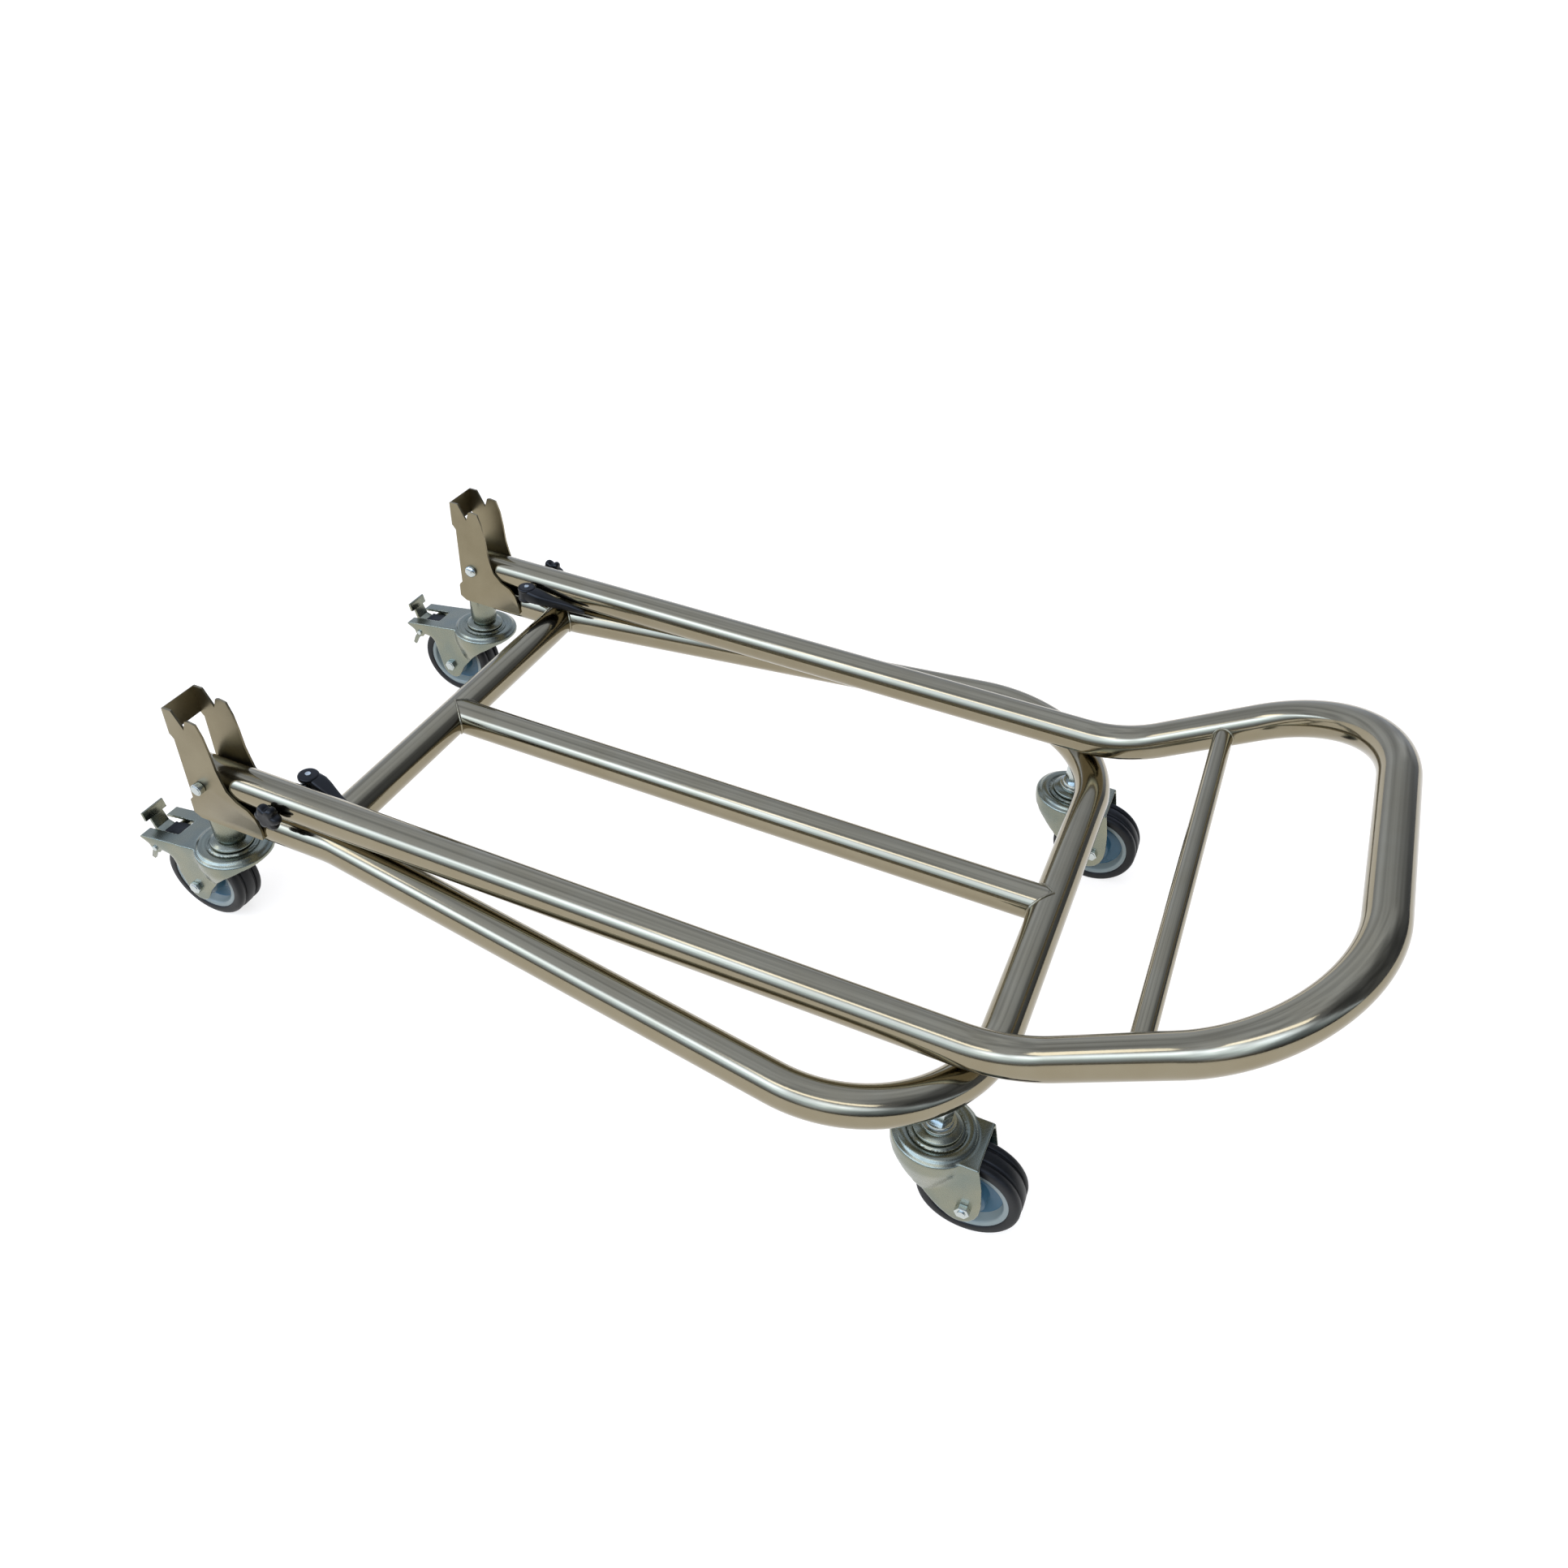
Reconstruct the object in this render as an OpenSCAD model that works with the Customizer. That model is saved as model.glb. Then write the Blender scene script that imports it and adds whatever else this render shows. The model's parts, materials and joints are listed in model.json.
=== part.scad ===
// Folding tyre trolley: chromed tube base on four swivel castors with a fold-down U handle.
// +X is the wide end that the folded handle passes over, +Y is the left side, +Z is up.
// The origin is the middle of the bounding box, on the floor. Millimetres and degrees.

/* [Tubes] */
// Outer diameter of the frame and handle tubes
tube_d = 31.7; // [30:0.1:32]
// Wall thickness of the tubes
tube_wall = 1.5; // [1.2:0.1:2.5]
// Diameter of the thin cross bar in the handle
crossbar_d = 16.8; // [12:0.5:20]

/* [Base frame] */
// Height of the base tube's axis above the floor
base_z = 135.5; // [132:0.5:145]
// Distance between the two side tubes at the rear, axis to axis
rear_track = 393.6; // [360:2:440]
// Distance from the pivots to the axis of the front member
base_length = 676.4; // [620:1:720]
// Distance between the flared side lines where they meet the front member's axis
flare_width = 558.8; // [520:2:600]
// Distance from the pivots to the bend where the sides start to flare
flare_start = 114.8; // [112:1:125]
// Bend radius at the start of the flare
flare_bend = 120; // [100:1:160]
// Bend radius of the two front corners
corner_bend = 117.8; // [105:1:125]
// Distance from the pivots to the axis of the rear cross tube
rear_cross_x = 100.2; // [90:1:102]
// Distance from the pivots to the rear end of the base tube
base_tail = 19; // [18:1:26]
// Angle round each front corner at which its castor sits, from straight ahead
corner_castor_angle = 36.3; // [30:0.1:45]

/* [Handle] */
// Gap between the folded handle and the base tube
fold_gap = 1.7; // [1:0.1:6]
// Distance from the pivots to the crank of the handle
crank_x = 688.2; // [650:1:720]
// Angle of the cranked end
crank_angle = 31.6; // [20:1:40]
// Bend radius at the crank
crank_bend = 125.5; // [95:1:140]
// Length from the crank to the axis of the end bar
crank_length = 239.2; // [230:1:280]
// Bend radius of the two handle corners
handle_bend = 117.5; // [95:1:125]
// Distance from the crank to the thin cross bar
crossbar_at = 94; // [75:1:105]
// Distance from the pivots to the tube ends inside the brackets
handle_tail = 12; // [10:0.5:14]
// Travel of the handle along its pivot slots
lift_travel = 6; // [4:0.5:8]

/* [Brackets] */
// Distance from the rear king stems forward to the handle's pivots
pivot_ahead = 4; // [3:0.5:6]
// Thickness of the bracket sheet
sheet = 2; // [1.5:0.1:2.5]
// Gap between the bracket cheeks and the tubes on each side
cheek_gap = 0.3; // [0.3:0.05:0.8]
// Height of the bracket above the floor
bracket_top = 244.5; // [241:0.5:250]
// Height of the lower edge of the bracket
bracket_foot = 130.5; // [129:0.5:132]
// Length of the bracket's foot ahead of the pivot
bracket_reach = 55.8; // [50:1:60]
// Height of the web that closes the bracket's top at the rear
top_web = 26; // [20:1:36]
// Height of the web that closes the bracket's foot at the rear
foot_web = 16; // [12:1:18]
// Slope of the notch's rear side from upright
notch_rear = 28; // [22:1:34]
// Slope of the notch's front side from upright
notch_front = 16; // [12:1:20]
// Diameter of the pivot bolts
pivot_d = 8; // [6:0.5:10]

/* [Quick-release clamps] */
// Distance from the pivots to the clamp bolts
clamp_reach = 74; // [73.8:0.1:78]
// Diameter of the clamp bolts
clamp_d = 6; // [5:0.5:6]
// Diameter of the outer knobs
knob_d = 24.5; // [22:0.5:30]
// Thickness of the outer knobs
knob_t = 10; // [9:0.5:16]
// Number of grip flutes round a knob
knob_flutes = 6; // [4:1:8]
// Diameter of the cam at the lever's root
cam_d = 18; // [17:0.5:24]
// Length of the lever from its pin to its tip
lever_length = 62; // [55:1:80]
// Height of the lever's cam
cam_h = 15.5; // [14:0.5:20]
// Diameter of the lever's pin
lever_pin_d = 5; // [4:0.5:6]

/* [Castors] */
// Diameter of the tyre
wheel_d = 81; // [76:1:82]
// Width of the tyre
wheel_w = 28; // [24:1:30]
// Diameter of the rim that carries the tyre
rim_d = 63.4; // [58:1:66]
// Distance that the axle trails behind the swivel axis
trail = 34.5; // [31:0.5:36]
// Width over the fork's legs at the axle
leg_w = 46; // [44:1:48]
// Thickness of the fork's sheet
fork_t = 2.5; // [2:0.1:3]
// Gap between the tyre and the fork's top plate
tyre_gap = 6.3; // [5:0.1:8]
// Diameter of the swivel ring
ring_d = 68; // [64:1:70]
// Diameter of the axle bolts
axle_d = 6; // [5:0.5:8]
// Diameter of the king stems
stem_d = 12; // [10:0.5:14]
// Outer diameter of the rear stem sockets
socket_d = 27; // [24:1:30]

/* [Brakes] */
// Diameter of the rubber brake blocks
block_d = 16.4; // [14:0.2:18]
// Angle above the axle at which the brake block stands behind the tyre
block_angle = 38.7; // [36:0.1:42]
// Distance that the brake arm reaches behind the swivel axis
arm_reach = 88.5; // [86:0.5:92]
// Drop of the arm's end below the fork's top
arm_drop = 10; // [8:0.5:12]
// Distance that the pedal's tab reaches behind the swivel axis
pedal_reach = 91.5; // [91:0.5:96]
// Width of the pedal's tab
tab_w = 24; // [20:1:30]
// Width of the pedal's strip
strip_w = 14; // [10:1:15]

/* [Hidden] */
$fn = 64;

// Running clearance on the radius of every pin, bolt and stem that turns
fit = 0.08;
// Gap between parts that pass each other
gap = 0.4;
// Gap left where one tube is coped round another
cope = 0.02;
// A straight run of tube laps this far over each bend, which is slimmer by the step
lap = 0.5;
lap_step = 0.2;

chrome = [0.72, 0.71, 0.69];
satin = [0.62, 0.58, 0.50];
zinc = [0.62, 0.68, 0.68];
black = [0.08, 0.08, 0.09];
rubber = [0.10, 0.10, 0.10];

tube_r = tube_d / 2;
pivot_z = base_z + tube_d + fold_gap;
side_y = rear_track / 2;

// Overall length folded, from the pedal tab to the handle's end
handle_reach = crank_x + crank_length * cos(crank_angle);
overall = pedal_reach + pivot_ahead + handle_reach + tube_r;
pivot_x = -overall / 2 + pedal_reach + pivot_ahead;

// Flare and corners of the base tube, as seen from above on the left side
flare_angle = atan((flare_width / 2 - side_y) / (base_length - flare_start));
flare_tangent = flare_bend * tan(flare_angle / 2);
corner_tangent = corner_bend * tan((90 + flare_angle) / 2);
flare_run = (base_length - flare_start) / cos(flare_angle);
corner_start = [base_length - corner_tangent * cos(flare_angle),
    flare_width / 2 - corner_tangent * sin(flare_angle)];
corner_centre = corner_start + corner_bend * [sin(flare_angle), -cos(flare_angle)];
corner_castor = corner_centre + corner_bend * [cos(corner_castor_angle), sin(corner_castor_angle)];

king_rear = [pivot_x - pivot_ahead, side_y];
king_front = [pivot_x + corner_castor[0], corner_castor[1]];

// Brackets
cheek_in = tube_r + cheek_gap;
cheek_out = cheek_in + sheet;
web_in = tube_r + 0.4;
web_out = web_in + sheet;
rear_edge = web_out - 5;
// The clamp bolt rests in the notch with its axis right above the pivot
seat_r = clamp_d / 2 + 0.3;
notch_half = (notch_rear + notch_front) / 2;
notch_lean = (notch_rear - notch_front) / 2;
notch_seat = pivot_z + clamp_reach - lift_travel;
notch_x = seat_r / sin(notch_half) * sin(notch_lean);
notch_z = notch_seat - seat_r / sin(notch_half) * cos(notch_lean);
finger_r = clamp_reach - clamp_d / 2 - 0.8;

// Clamps
knob_in = cheek_out + gap;
cam_in = cheek_out + gap;
cam_y = cam_in + cam_d / 2;
eye_r = lever_pin_d / 2 + 2.5;

// Castors
wheel_r = wheel_d / 2;
axle_z = wheel_r;
ring_r = ring_d / 2;
plate_bottom = wheel_d + tyre_gap;
plate_z = plate_bottom + fork_t;
dome_z = plate_z + 3;
cap_z = dome_z + gap;
collar_z = cap_z + 5;
leg_out = leg_w / 2;
leg_in = leg_out - fork_t;
hub_w = 2 * (leg_in - gap);
washer_t = 3;

// Brake pin, behind the swivel axis and above the floor: the block on it just clears the tyre
block_r = block_d / 2;
brake_pin_x = trail + (wheel_r + block_r + 0.6) * cos(block_angle);
brake_pin_z = axle_z + (wheel_r + block_r + 0.6) * sin(block_angle);

// A tube along +X from x0 to x1
module along_x(x0, x1, r) {
    translate([x0, 0, 0])
        rotate([0, 90, 0])
            cylinder(h = x1 - x0, r = r);
}

// A rod along +Y from y0 to y1
module along_y(y0, y1, r) {
    translate([0, y1, 0])
        rotate([90, 0, 0])
            cylinder(h = y1 - y0, r = r);
}

// A bend in the plan plane: centre at the origin, from angle a0 round by a
module bend(radius, a0, a, r) {
    rotate([0, 0, a0])
        rotate_extrude(angle = a)
            translate([radius, 0])
                circle(r = r - lap_step);
}

// A hexagonal nut or head along +Z, af across flats
module hex(af, h) {
    cylinder(h = h, r = af / 2 / cos(30), $fn = 6);
}

// A sheet-metal plate in the XZ plane, from y0 to y1
module xz_plate(points, y0, y1) {
    translate([0, y1, 0])
        rotate([90, 0, 0])
            linear_extrude(height = y1 - y0)
                polygon(points);
}

// Solid of the base tube's path on the left side, in plan, at radius r
module base_side(r, tail) {
    translate([0, side_y, 0])
        along_x(tail, flare_start - flare_tangent + lap, r);
    translate([flare_start - flare_tangent, side_y + flare_bend, 0])
        bend(flare_bend, -90, flare_angle, r);
    translate([flare_start, side_y, 0])
        rotate([0, 0, flare_angle])
            along_x(flare_tangent - lap, flare_run - corner_tangent + lap, r);
    translate([corner_centre[0], corner_centre[1], 0])
        bend(corner_bend, 0, 90 + flare_angle, r);
}

module base_path(r, tail) {
    translate([pivot_x, 0, base_z]) {
        base_side(r, tail);
        mirror([0, 1, 0])
            base_side(r, tail);
        translate([base_length, 0, 0])
            along_y(-corner_centre[1] - lap, corner_centre[1] + lap, r);
    }
}

// The straight part beside the rear cross tube, for coping that tube's ends
module tail_solid(r) {
    translate([pivot_x, side_y, base_z])
        along_x(20, flare_start + 5, r);
}

module base_tube() {
    color(chrome)
        difference() {
            base_path(tube_r, base_tail);
            base_path(tube_r - tube_wall, base_tail - 1);
            for (s = [-1, 1])
                translate([king_front[0], s * king_front[1], base_z - tube_r - 1])
                    cylinder(h = tube_r, r = stem_d / 2 + cope);
        }
}

module rear_cross_tube() {
    color(chrome)
        difference() {
            translate([pivot_x + rear_cross_x, 0, base_z])
                difference() {
                    along_y(-side_y + 1.5, side_y - 1.5, tube_r);
                    along_y(-side_y - 1, side_y + 1, tube_r - tube_wall);
                }
            tail_solid(tube_r + cope);
            mirror([0, 1, 0])
                tail_solid(tube_r + cope);
        }
}

module centre_tube() {
    color(chrome)
        translate([pivot_x, 0, base_z])
            difference() {
                along_x(rear_cross_x, base_length, tube_r);
                along_x(rear_cross_x - 1, base_length + 1, tube_r - tube_wall);
                translate([rear_cross_x, 0, 0])
                    along_y(-tube_d, tube_d, tube_r + cope);
                translate([base_length, 0, 0])
                    along_y(-tube_d, tube_d, tube_r + cope);
            }
}

// Side outline of a bracket cheek, x ahead of the pivot and z above the floor
function cheek_outline() = let (u = bracket_reach, v = bracket_top - bracket_foot, f = bracket_foot) [
    [-web_in, bracket_foot + foot_web + 3], [-rear_edge, bracket_foot + foot_web + 6],
    [-rear_edge, bracket_top - top_web - 4], [-web_in, bracket_top - top_web],
    [-web_out, bracket_top - top_web],
    [-web_out, bracket_top], [notch_x - (bracket_top - notch_z) * tan(notch_rear), bracket_top],
    [notch_x, notch_z],
    for (a = [86.4 : -2.1 : 78]) [finger_r * cos(a), pivot_z + finger_r * sin(a) - (a > 86 ? 1 : 0)],
    [u * 0.333, f + v * 0.838], [u * 0.373, f + v * 0.706], [u * 0.4, f + v * 0.557],
    [u * 0.446, f + v * 0.46], [u * 0.491, f + v * 0.377], [u * 0.636, f + v * 0.298],
    [u * 0.815, f + v * 0.254], [u * 0.923, f + v * 0.193], [u - 1, f + v * 0.1], [u, f + 2],
    [u - 2, f], [-web_in + 6, f], [-web_out, f + 5], [-web_out, f + foot_web - 1]
];

module bracket(s) {
    color(satin)
        translate([pivot_x, s * side_y, 0])
            difference() {
                union() {
                    for (k = [-1, 1])
                        xz_plate(cheek_outline(), k > 0 ? cheek_in : -cheek_out,
                            k > 0 ? cheek_out : -cheek_in);
                    // web across the top of the rear side
                    translate([-web_out, -cheek_in, bracket_top - top_web])
                        cube([sheet, 2 * cheek_in, top_web]);
                    // web across the foot of the rear side
                    translate([-web_out, -cheek_in, bracket_foot + 5])
                        cube([sheet, 2 * cheek_in, foot_web - 6]);
                    // sloping joint between the floor and the foot web
                    xz_plate([[-web_out, bracket_foot + 5], [-web_in + 6, bracket_foot],
                        [-web_in + 6, bracket_foot + sheet], [-web_in, bracket_foot + 5]],
                        -cheek_in, cheek_in);
                    // floor plate that carries the stem socket
                    translate([-web_in + 6, -cheek_in, bracket_foot])
                        cube([web_in - 6 + base_tail - 1, 2 * cheek_in, sheet]);
                }
                translate([0, 0, pivot_z])
                    along_y(-cheek_out - 1, cheek_out + 1, pivot_d / 2 + fit);
                translate([-pivot_ahead, 0, bracket_foot - 1])
                    cylinder(h = sheet + 2, r = stem_d / 2 + cope);
            }
}

module bracket_right() { bracket(-1); }
module bracket_left() { bracket(1); }

module socket(s) {
    color(satin)
        translate([king_rear[0], s * king_rear[1], collar_z + washer_t])
            difference() {
                cylinder(h = bracket_foot - collar_z - washer_t, r = socket_d / 2);
                translate([0, 0, -1])
                    cylinder(h = bracket_foot, r = stem_d / 2 + cope);
            }
}

module socket_right() { socket(-1); }
module socket_left() { socket(1); }

// Threaded king stem with the flange that holds the fork up
module king_stem(top) {
    translate([0, 0, plate_bottom - 3]) {
        cylinder(h = dome_z - fork_t - gap - plate_bottom + 3, r = stem_d / 2 + 4);
        cylinder(h = top - plate_bottom + 3, r = stem_d / 2);
    }
}

module king_stems_front() {
    color(zinc)
        for (s = [-1, 1])
            translate([king_front[0], s * king_front[1], 0])
                king_stem(base_z - 8);
}

module king_stems_rear() {
    color(zinc)
        for (s = [-1, 1])
            translate([king_rear[0], s * king_rear[1], 0])
                king_stem(bracket_foot + sheet);
}

module king_nuts_front() {
    color(zinc)
        for (s = [-1, 1])
            translate([king_front[0], s * king_front[1], collar_z + 2 * washer_t])
                difference() {
                    hex(stem_d * 1.42, base_z - tube_r - collar_z - 2 * washer_t + 0.6);
                    translate([0, 0, -1])
                        cylinder(h = 60, r = stem_d / 2 + cope);
                    translate([-king_front[0], -s * king_front[1], -collar_z - 2 * washer_t])
                        base_path(tube_r + cope, base_tail);
                }
}

module king_washers_front() {
    color(zinc)
        for (s = [-1, 1])
            translate([king_front[0], s * king_front[1], collar_z])
                difference() {
                    union() {
                        cylinder(h = washer_t, r = stem_d * 1.12);
                        translate([0, 0, washer_t])
                            cylinder(h = washer_t, r = stem_d * 0.92);
                    }
                    translate([0, 0, -1])
                        cylinder(h = 20, r = stem_d / 2 + cope);
                }
}

module king_collars_rear() {
    color(zinc)
        for (s = [-1, 1])
            translate([king_rear[0], s * king_rear[1], collar_z])
                difference() {
                    cylinder(h = washer_t, r = socket_d / 2 - 2);
                    translate([0, 0, -1])
                        cylinder(h = 20, r = stem_d / 2 + cope);
                }
}

// Fixed upper race of a castor, a dished cap over the swivel ring
module swivel_cap() {
    difference() {
        rotate_extrude()
            polygon([[0, cap_z], [17.5, cap_z], [19, cap_z + 1], [18.4, cap_z + 2.6],
                [16, cap_z + 3.8], [14, collar_z], [0, collar_z]]);
        translate([0, 0, cap_z - 1])
            cylinder(h = 20, r = stem_d / 2 + cope);
    }
}

module swivel_caps() {
    color(zinc)
        for (k = [king_front, king_rear])
            for (s = [-1, 1])
                translate([k[0], s * k[1], 0])
                    swivel_cap();
}

module pivot_bolts() {
    d = pivot_d;
    color(zinc)
        for (s = [-1, 1])
            translate([pivot_x, s * side_y, pivot_z])
                mirror([0, s > 0 ? 0 : 1, 0]) {
                    along_y(-cheek_out - gap - 2, cheek_out + gap + d * 0.76, d / 2);
                    // domed head on the inner side
                    translate([0, -cheek_out - gap, 0])
                        rotate([90, 0, 0])
                            rotate_extrude()
                                polygon(d * [[0, 0], [0.82, 0], [0.79, 0.22], [0.62, 0.42], [0.32, 0.54],
                                    [0, 0.56]]);
                }
}

// Round sleeve nuts on the outer ends of the pivot bolts
module pivot_nuts() {
    color(zinc)
        for (s = [-1, 1])
            translate([pivot_x, s * side_y, pivot_z])
                mirror([0, s > 0 ? 0 : 1, 0])
                    translate([0, cheek_out + gap, 0])
                        rotate([-90, 0, 0])
                            difference() {
                                cylinder(h = pivot_d * 0.7, r = pivot_d * 0.66);
                                translate([0, 0, -1])
                                    cylinder(h = 20, r = pivot_d / 2 + cope);
                            }
}

crank_tangent = crank_bend * tan(crank_angle / 2);

// Solid of the handle's path at radius r, with its tube ends at tail behind the pivot
module handle_path(r, tail) {
    for (s = [-1, 1])
        translate([pivot_x, s * side_y, pivot_z]) {
            along_x(-tail, crank_x - crank_tangent + lap, r);
            translate([crank_x - crank_tangent, 0, crank_bend])
                rotate([90, 0, 0])
                    bend(crank_bend, -90, crank_angle, r);
        }
    translate([pivot_x + crank_x, 0, pivot_z])
        rotate([0, -crank_angle, 0]) {
            for (s = [0, 1])
                mirror([0, s, 0]) {
                    translate([0, side_y, 0])
                        along_x(crank_tangent - lap, crank_length - handle_bend + lap, r);
                    translate([crank_length - handle_bend, side_y - handle_bend, 0])
                        bend(handle_bend, 0, 90, r);
                }
            translate([crank_length, 0, 0])
                along_y(-side_y + handle_bend - lap, side_y - handle_bend + lap, r);
        }
}

module handle_tube() {
    slot_r = pivot_d / 2 + fit;
    color(chrome)
        difference() {
            handle_path(tube_r, handle_tail);
            handle_path(tube_r - tube_wall, handle_tail + 1);
            for (s = [-1, 1]) {
                // slot that lets the handle lift on its pivot bolt
                translate([pivot_x, s * side_y, pivot_z]) {
                    along_y(-tube_d, tube_d, slot_r);
                    translate([lift_travel, 0, 0])
                        along_y(-tube_d, tube_d, slot_r);
                    translate([0, -tube_d, -slot_r])
                        cube([lift_travel, 2 * tube_d, 2 * slot_r]);
                }
                translate([pivot_x + clamp_reach, s * side_y, pivot_z])
                    along_y(-tube_d, tube_d, clamp_d / 2 + cope);
            }
        }
}

module handle_crossbar() {
    color(chrome)
        translate([pivot_x + crank_x, 0, pivot_z])
            rotate([0, -crank_angle, 0])
                difference() {
                    translate([crossbar_at, 0, 0])
                        along_y(-side_y, side_y, crossbar_d / 2);
                    for (s = [-1, 1])
                        translate([0, s * side_y, 0])
                            along_x(crossbar_at - tube_d, crossbar_at + tube_d, tube_r + cope);
                }
}

// Places a clamp piece: +Y points to the outer side of the handle
module at_clamp(s) {
    translate([pivot_x + clamp_reach, s * side_y, pivot_z])
        mirror([0, s > 0 ? 0 : 1, 0])
            children();
}

module clamp_bolt(s) {
    color(zinc)
        at_clamp(s)
            difference() {
                union() {
                    along_y(-cam_y, knob_in + knob_t - 4, clamp_d / 2);
                    translate([0, -cam_y, -clamp_d / 2 + 0.5])
                        cylinder(h = clamp_d - 1, r = eye_r);
                }
                translate([0, -cam_y, -10])
                    cylinder(h = 20, r = lever_pin_d / 2 + cope);
            }
}

module clamp_knob(s) {
    r = knob_d / 2;
    t = knob_t;
    color(black)
        at_clamp(s)
            translate([0, knob_in, 0])
                rotate([-90, 0, 0])
                    difference() {
                        rotate_extrude()
                            polygon([[0, 0], [r - 4, 0], [r - 1.5, 1.2], [r, 3.2], [r, t - 4],
                                [r - 1.2, t - 1.8], [r - 3.8, t - 0.4], [0, t]]);
                        for (i = [0 : knob_flutes - 1])
                            rotate([0, 0, (i + 0.5) * 360 / knob_flutes])
                                translate([r + 0.9, 0, -1])
                                    cylinder(h = t + 2, r = 4.4);
                        translate([0, 0, -1])
                            cylinder(h = t - 2.6, r = clamp_d / 2 + fit);
                    }
}

// Plan outline of the lever's arm, from the pin along +X; +Y is towards the tube that it hugs
function lever_plan(l, w) = [
    [0, -w], [0.18 * l, -w + 0.4], [0.3 * l, -w + 3], [0.5 * l, -w + 8.5], [0.7 * l, -w + 12.8],
    [0.9 * l, -w + 15], [0.985 * l, -w + 16.2], [l, -w + 17.4],
    [l - 1, w + 0.7], [0.9 * l, w + 1.5], [0.7 * l, w + 1.2], [0.5 * l, w + 0.2], [0.3 * l, w - 0.6],
    [0.16 * l, w - 1.5], [0, w - 2]
];

// Side outline of the lever, from the pin along +X: the arm dips below the cam
function lever_side(l, h) = [
    [-20, h], [0.12 * l, h], [0.24 * l, 0.66 * h], [0.5 * l, -0.05 * h], [0.75 * l, -0.55 * h],
    [0.95 * l, -0.95 * h], [l + 1, -1.15 * h], [l + 1, -1.5 * h], [0.95 * l, -1.65 * h],
    [0.75 * l, -1.55 * h], [0.5 * l, -1.3 * h], [0.25 * l, -1.05 * h], [0.12 * l, -h], [-20, -h]
];

module clamp_lever(s) {
    slot_h = clamp_d / 2 + 2 * gap;
    slot_depth = cam_d / 2 - 2.5;
    color(black)
        at_clamp(s)
            translate([0, -cam_y, 0])
                difference() {
                    union() {
                        translate([0, 0, -cam_h / 2])
                            cylinder(h = cam_h, r = cam_d / 2);
                        intersection() {
                            translate([0, 0, -cam_h])
                                linear_extrude(height = 2 * cam_h)
                                    polygon(lever_plan(lever_length, cam_d / 2));
                            xz_plate(lever_side(lever_length, cam_h / 2), -40, 40);
                        }
                    }
                    // slot for the bolt's eye through the swing of the lever
                    translate([0, 0, -slot_h])
                        linear_extrude(height = 2 * slot_h)
                            polygon([[eye_r + gap, 30], [eye_r + gap, -3], [3.4, -slot_depth],
                                [-30, -slot_depth], [-30, 30]]);
                    translate([0, 0, -20])
                        cylinder(h = 40, r = lever_pin_d / 2 + fit);
                }
}

module lever_pin(s) {
    color(zinc)
        at_clamp(s)
            translate([0, -cam_y, -cam_h / 2 - 0.8])
                cylinder(h = cam_h + 1.6, r = lever_pin_d / 2);
}

module clamp_bolt_right() { clamp_bolt(-1); }
module clamp_knob_right() { clamp_knob(-1); }
module clamp_lever_right() { clamp_lever(-1); }
module lever_pin_right() { lever_pin(-1); }
module clamp_bolt_left() { clamp_bolt(1); }
module clamp_knob_left() { clamp_knob(1); }
module clamp_lever_left() { clamp_lever(1); }
module lever_pin_left() { lever_pin(1); }

// Places a castor piece: the local +X is the side that the wheel trails to
module at_castor(front, s) {
    k = front ? king_front : king_rear;
    translate([k[0], s * k[1], 0])
        rotate([0, 0, front ? 0 : 180])
            children();
}

// Profile of the fork's round head: a flat rim, one rolled bead and the dome on the stem
module fork_head() {
    r = ring_r;
    rotate_extrude()
        polygon([[stem_d / 2 + fit, dome_z], [stem_d / 2 + fit, dome_z - fork_t], [20, dome_z - fork_t],
            [21.5, plate_bottom], [r, plate_bottom], [r - 0.7, plate_z - 1.1], [r - 2.6, plate_z],
            for (a = [0 : 15 : 180]) [26 + 4.6 * cos(a), plate_z + 2.9 * sin(a)],
            [21, plate_z], [20.6, dome_z - 0.8], [19.6, dome_z]]);
}

// Pressed skirt under the head, which draws in to the width of the legs
module fork_skirt() {
    r = ring_r;
    q = leg_out;
    t = fork_t;
    difference() {
        rotate_extrude()
            polygon([[r - 0.4, plate_bottom + 0.5], [r, plate_bottom], [r - 0.6, plate_z - 13],
                [r - 4, plate_z - 24], [q, plate_z - 44], [q - t, plate_z - 44], [r - 4 - t, plate_z - 23],
                [r - 0.6 - t, plate_z - 12], [r - t, plate_bottom + 0.5]]);
        translate([-r, -leg_in, 0])
            cube([3 * r, 2 * leg_in, plate_z + 5]);
    }
}

// The skirt's part that passes across the front of the fork, away from the wheel
module fork_nose() {
    r = ring_r;
    t = fork_t;
    rotate([0, 0, 90])
        rotate_extrude(angle = 180)
            polygon([[r - 0.4, plate_bottom + 0.5], [r, plate_bottom], [r - 0.6, plate_z - 13],
                [r - 0.6 - t, plate_z - 13], [r - t, plate_bottom + 0.5]]);
}

// Side outline of the front forks' legs
function front_outline() =
    let (e = [trail, axle_z])
    [
        [-36, plate_z], [-36, plate_z - 5], [-28, plate_z - 13.8], [-17, plate_z - 22.8],
        e + [-34, 5.5], e + [-24.5, -5], e + [-16, -12], e + [-9.5, -16.2], e + [-4, -18],
        e + [1.5, -17.2], e + [6.5, -14], e + [10.2, -8.5], e + [12, -2], e + [12.4, 7],
        e + [9.5, 27.5], [39.2, plate_z - 1], [38.4, plate_z]
    ];

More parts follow.
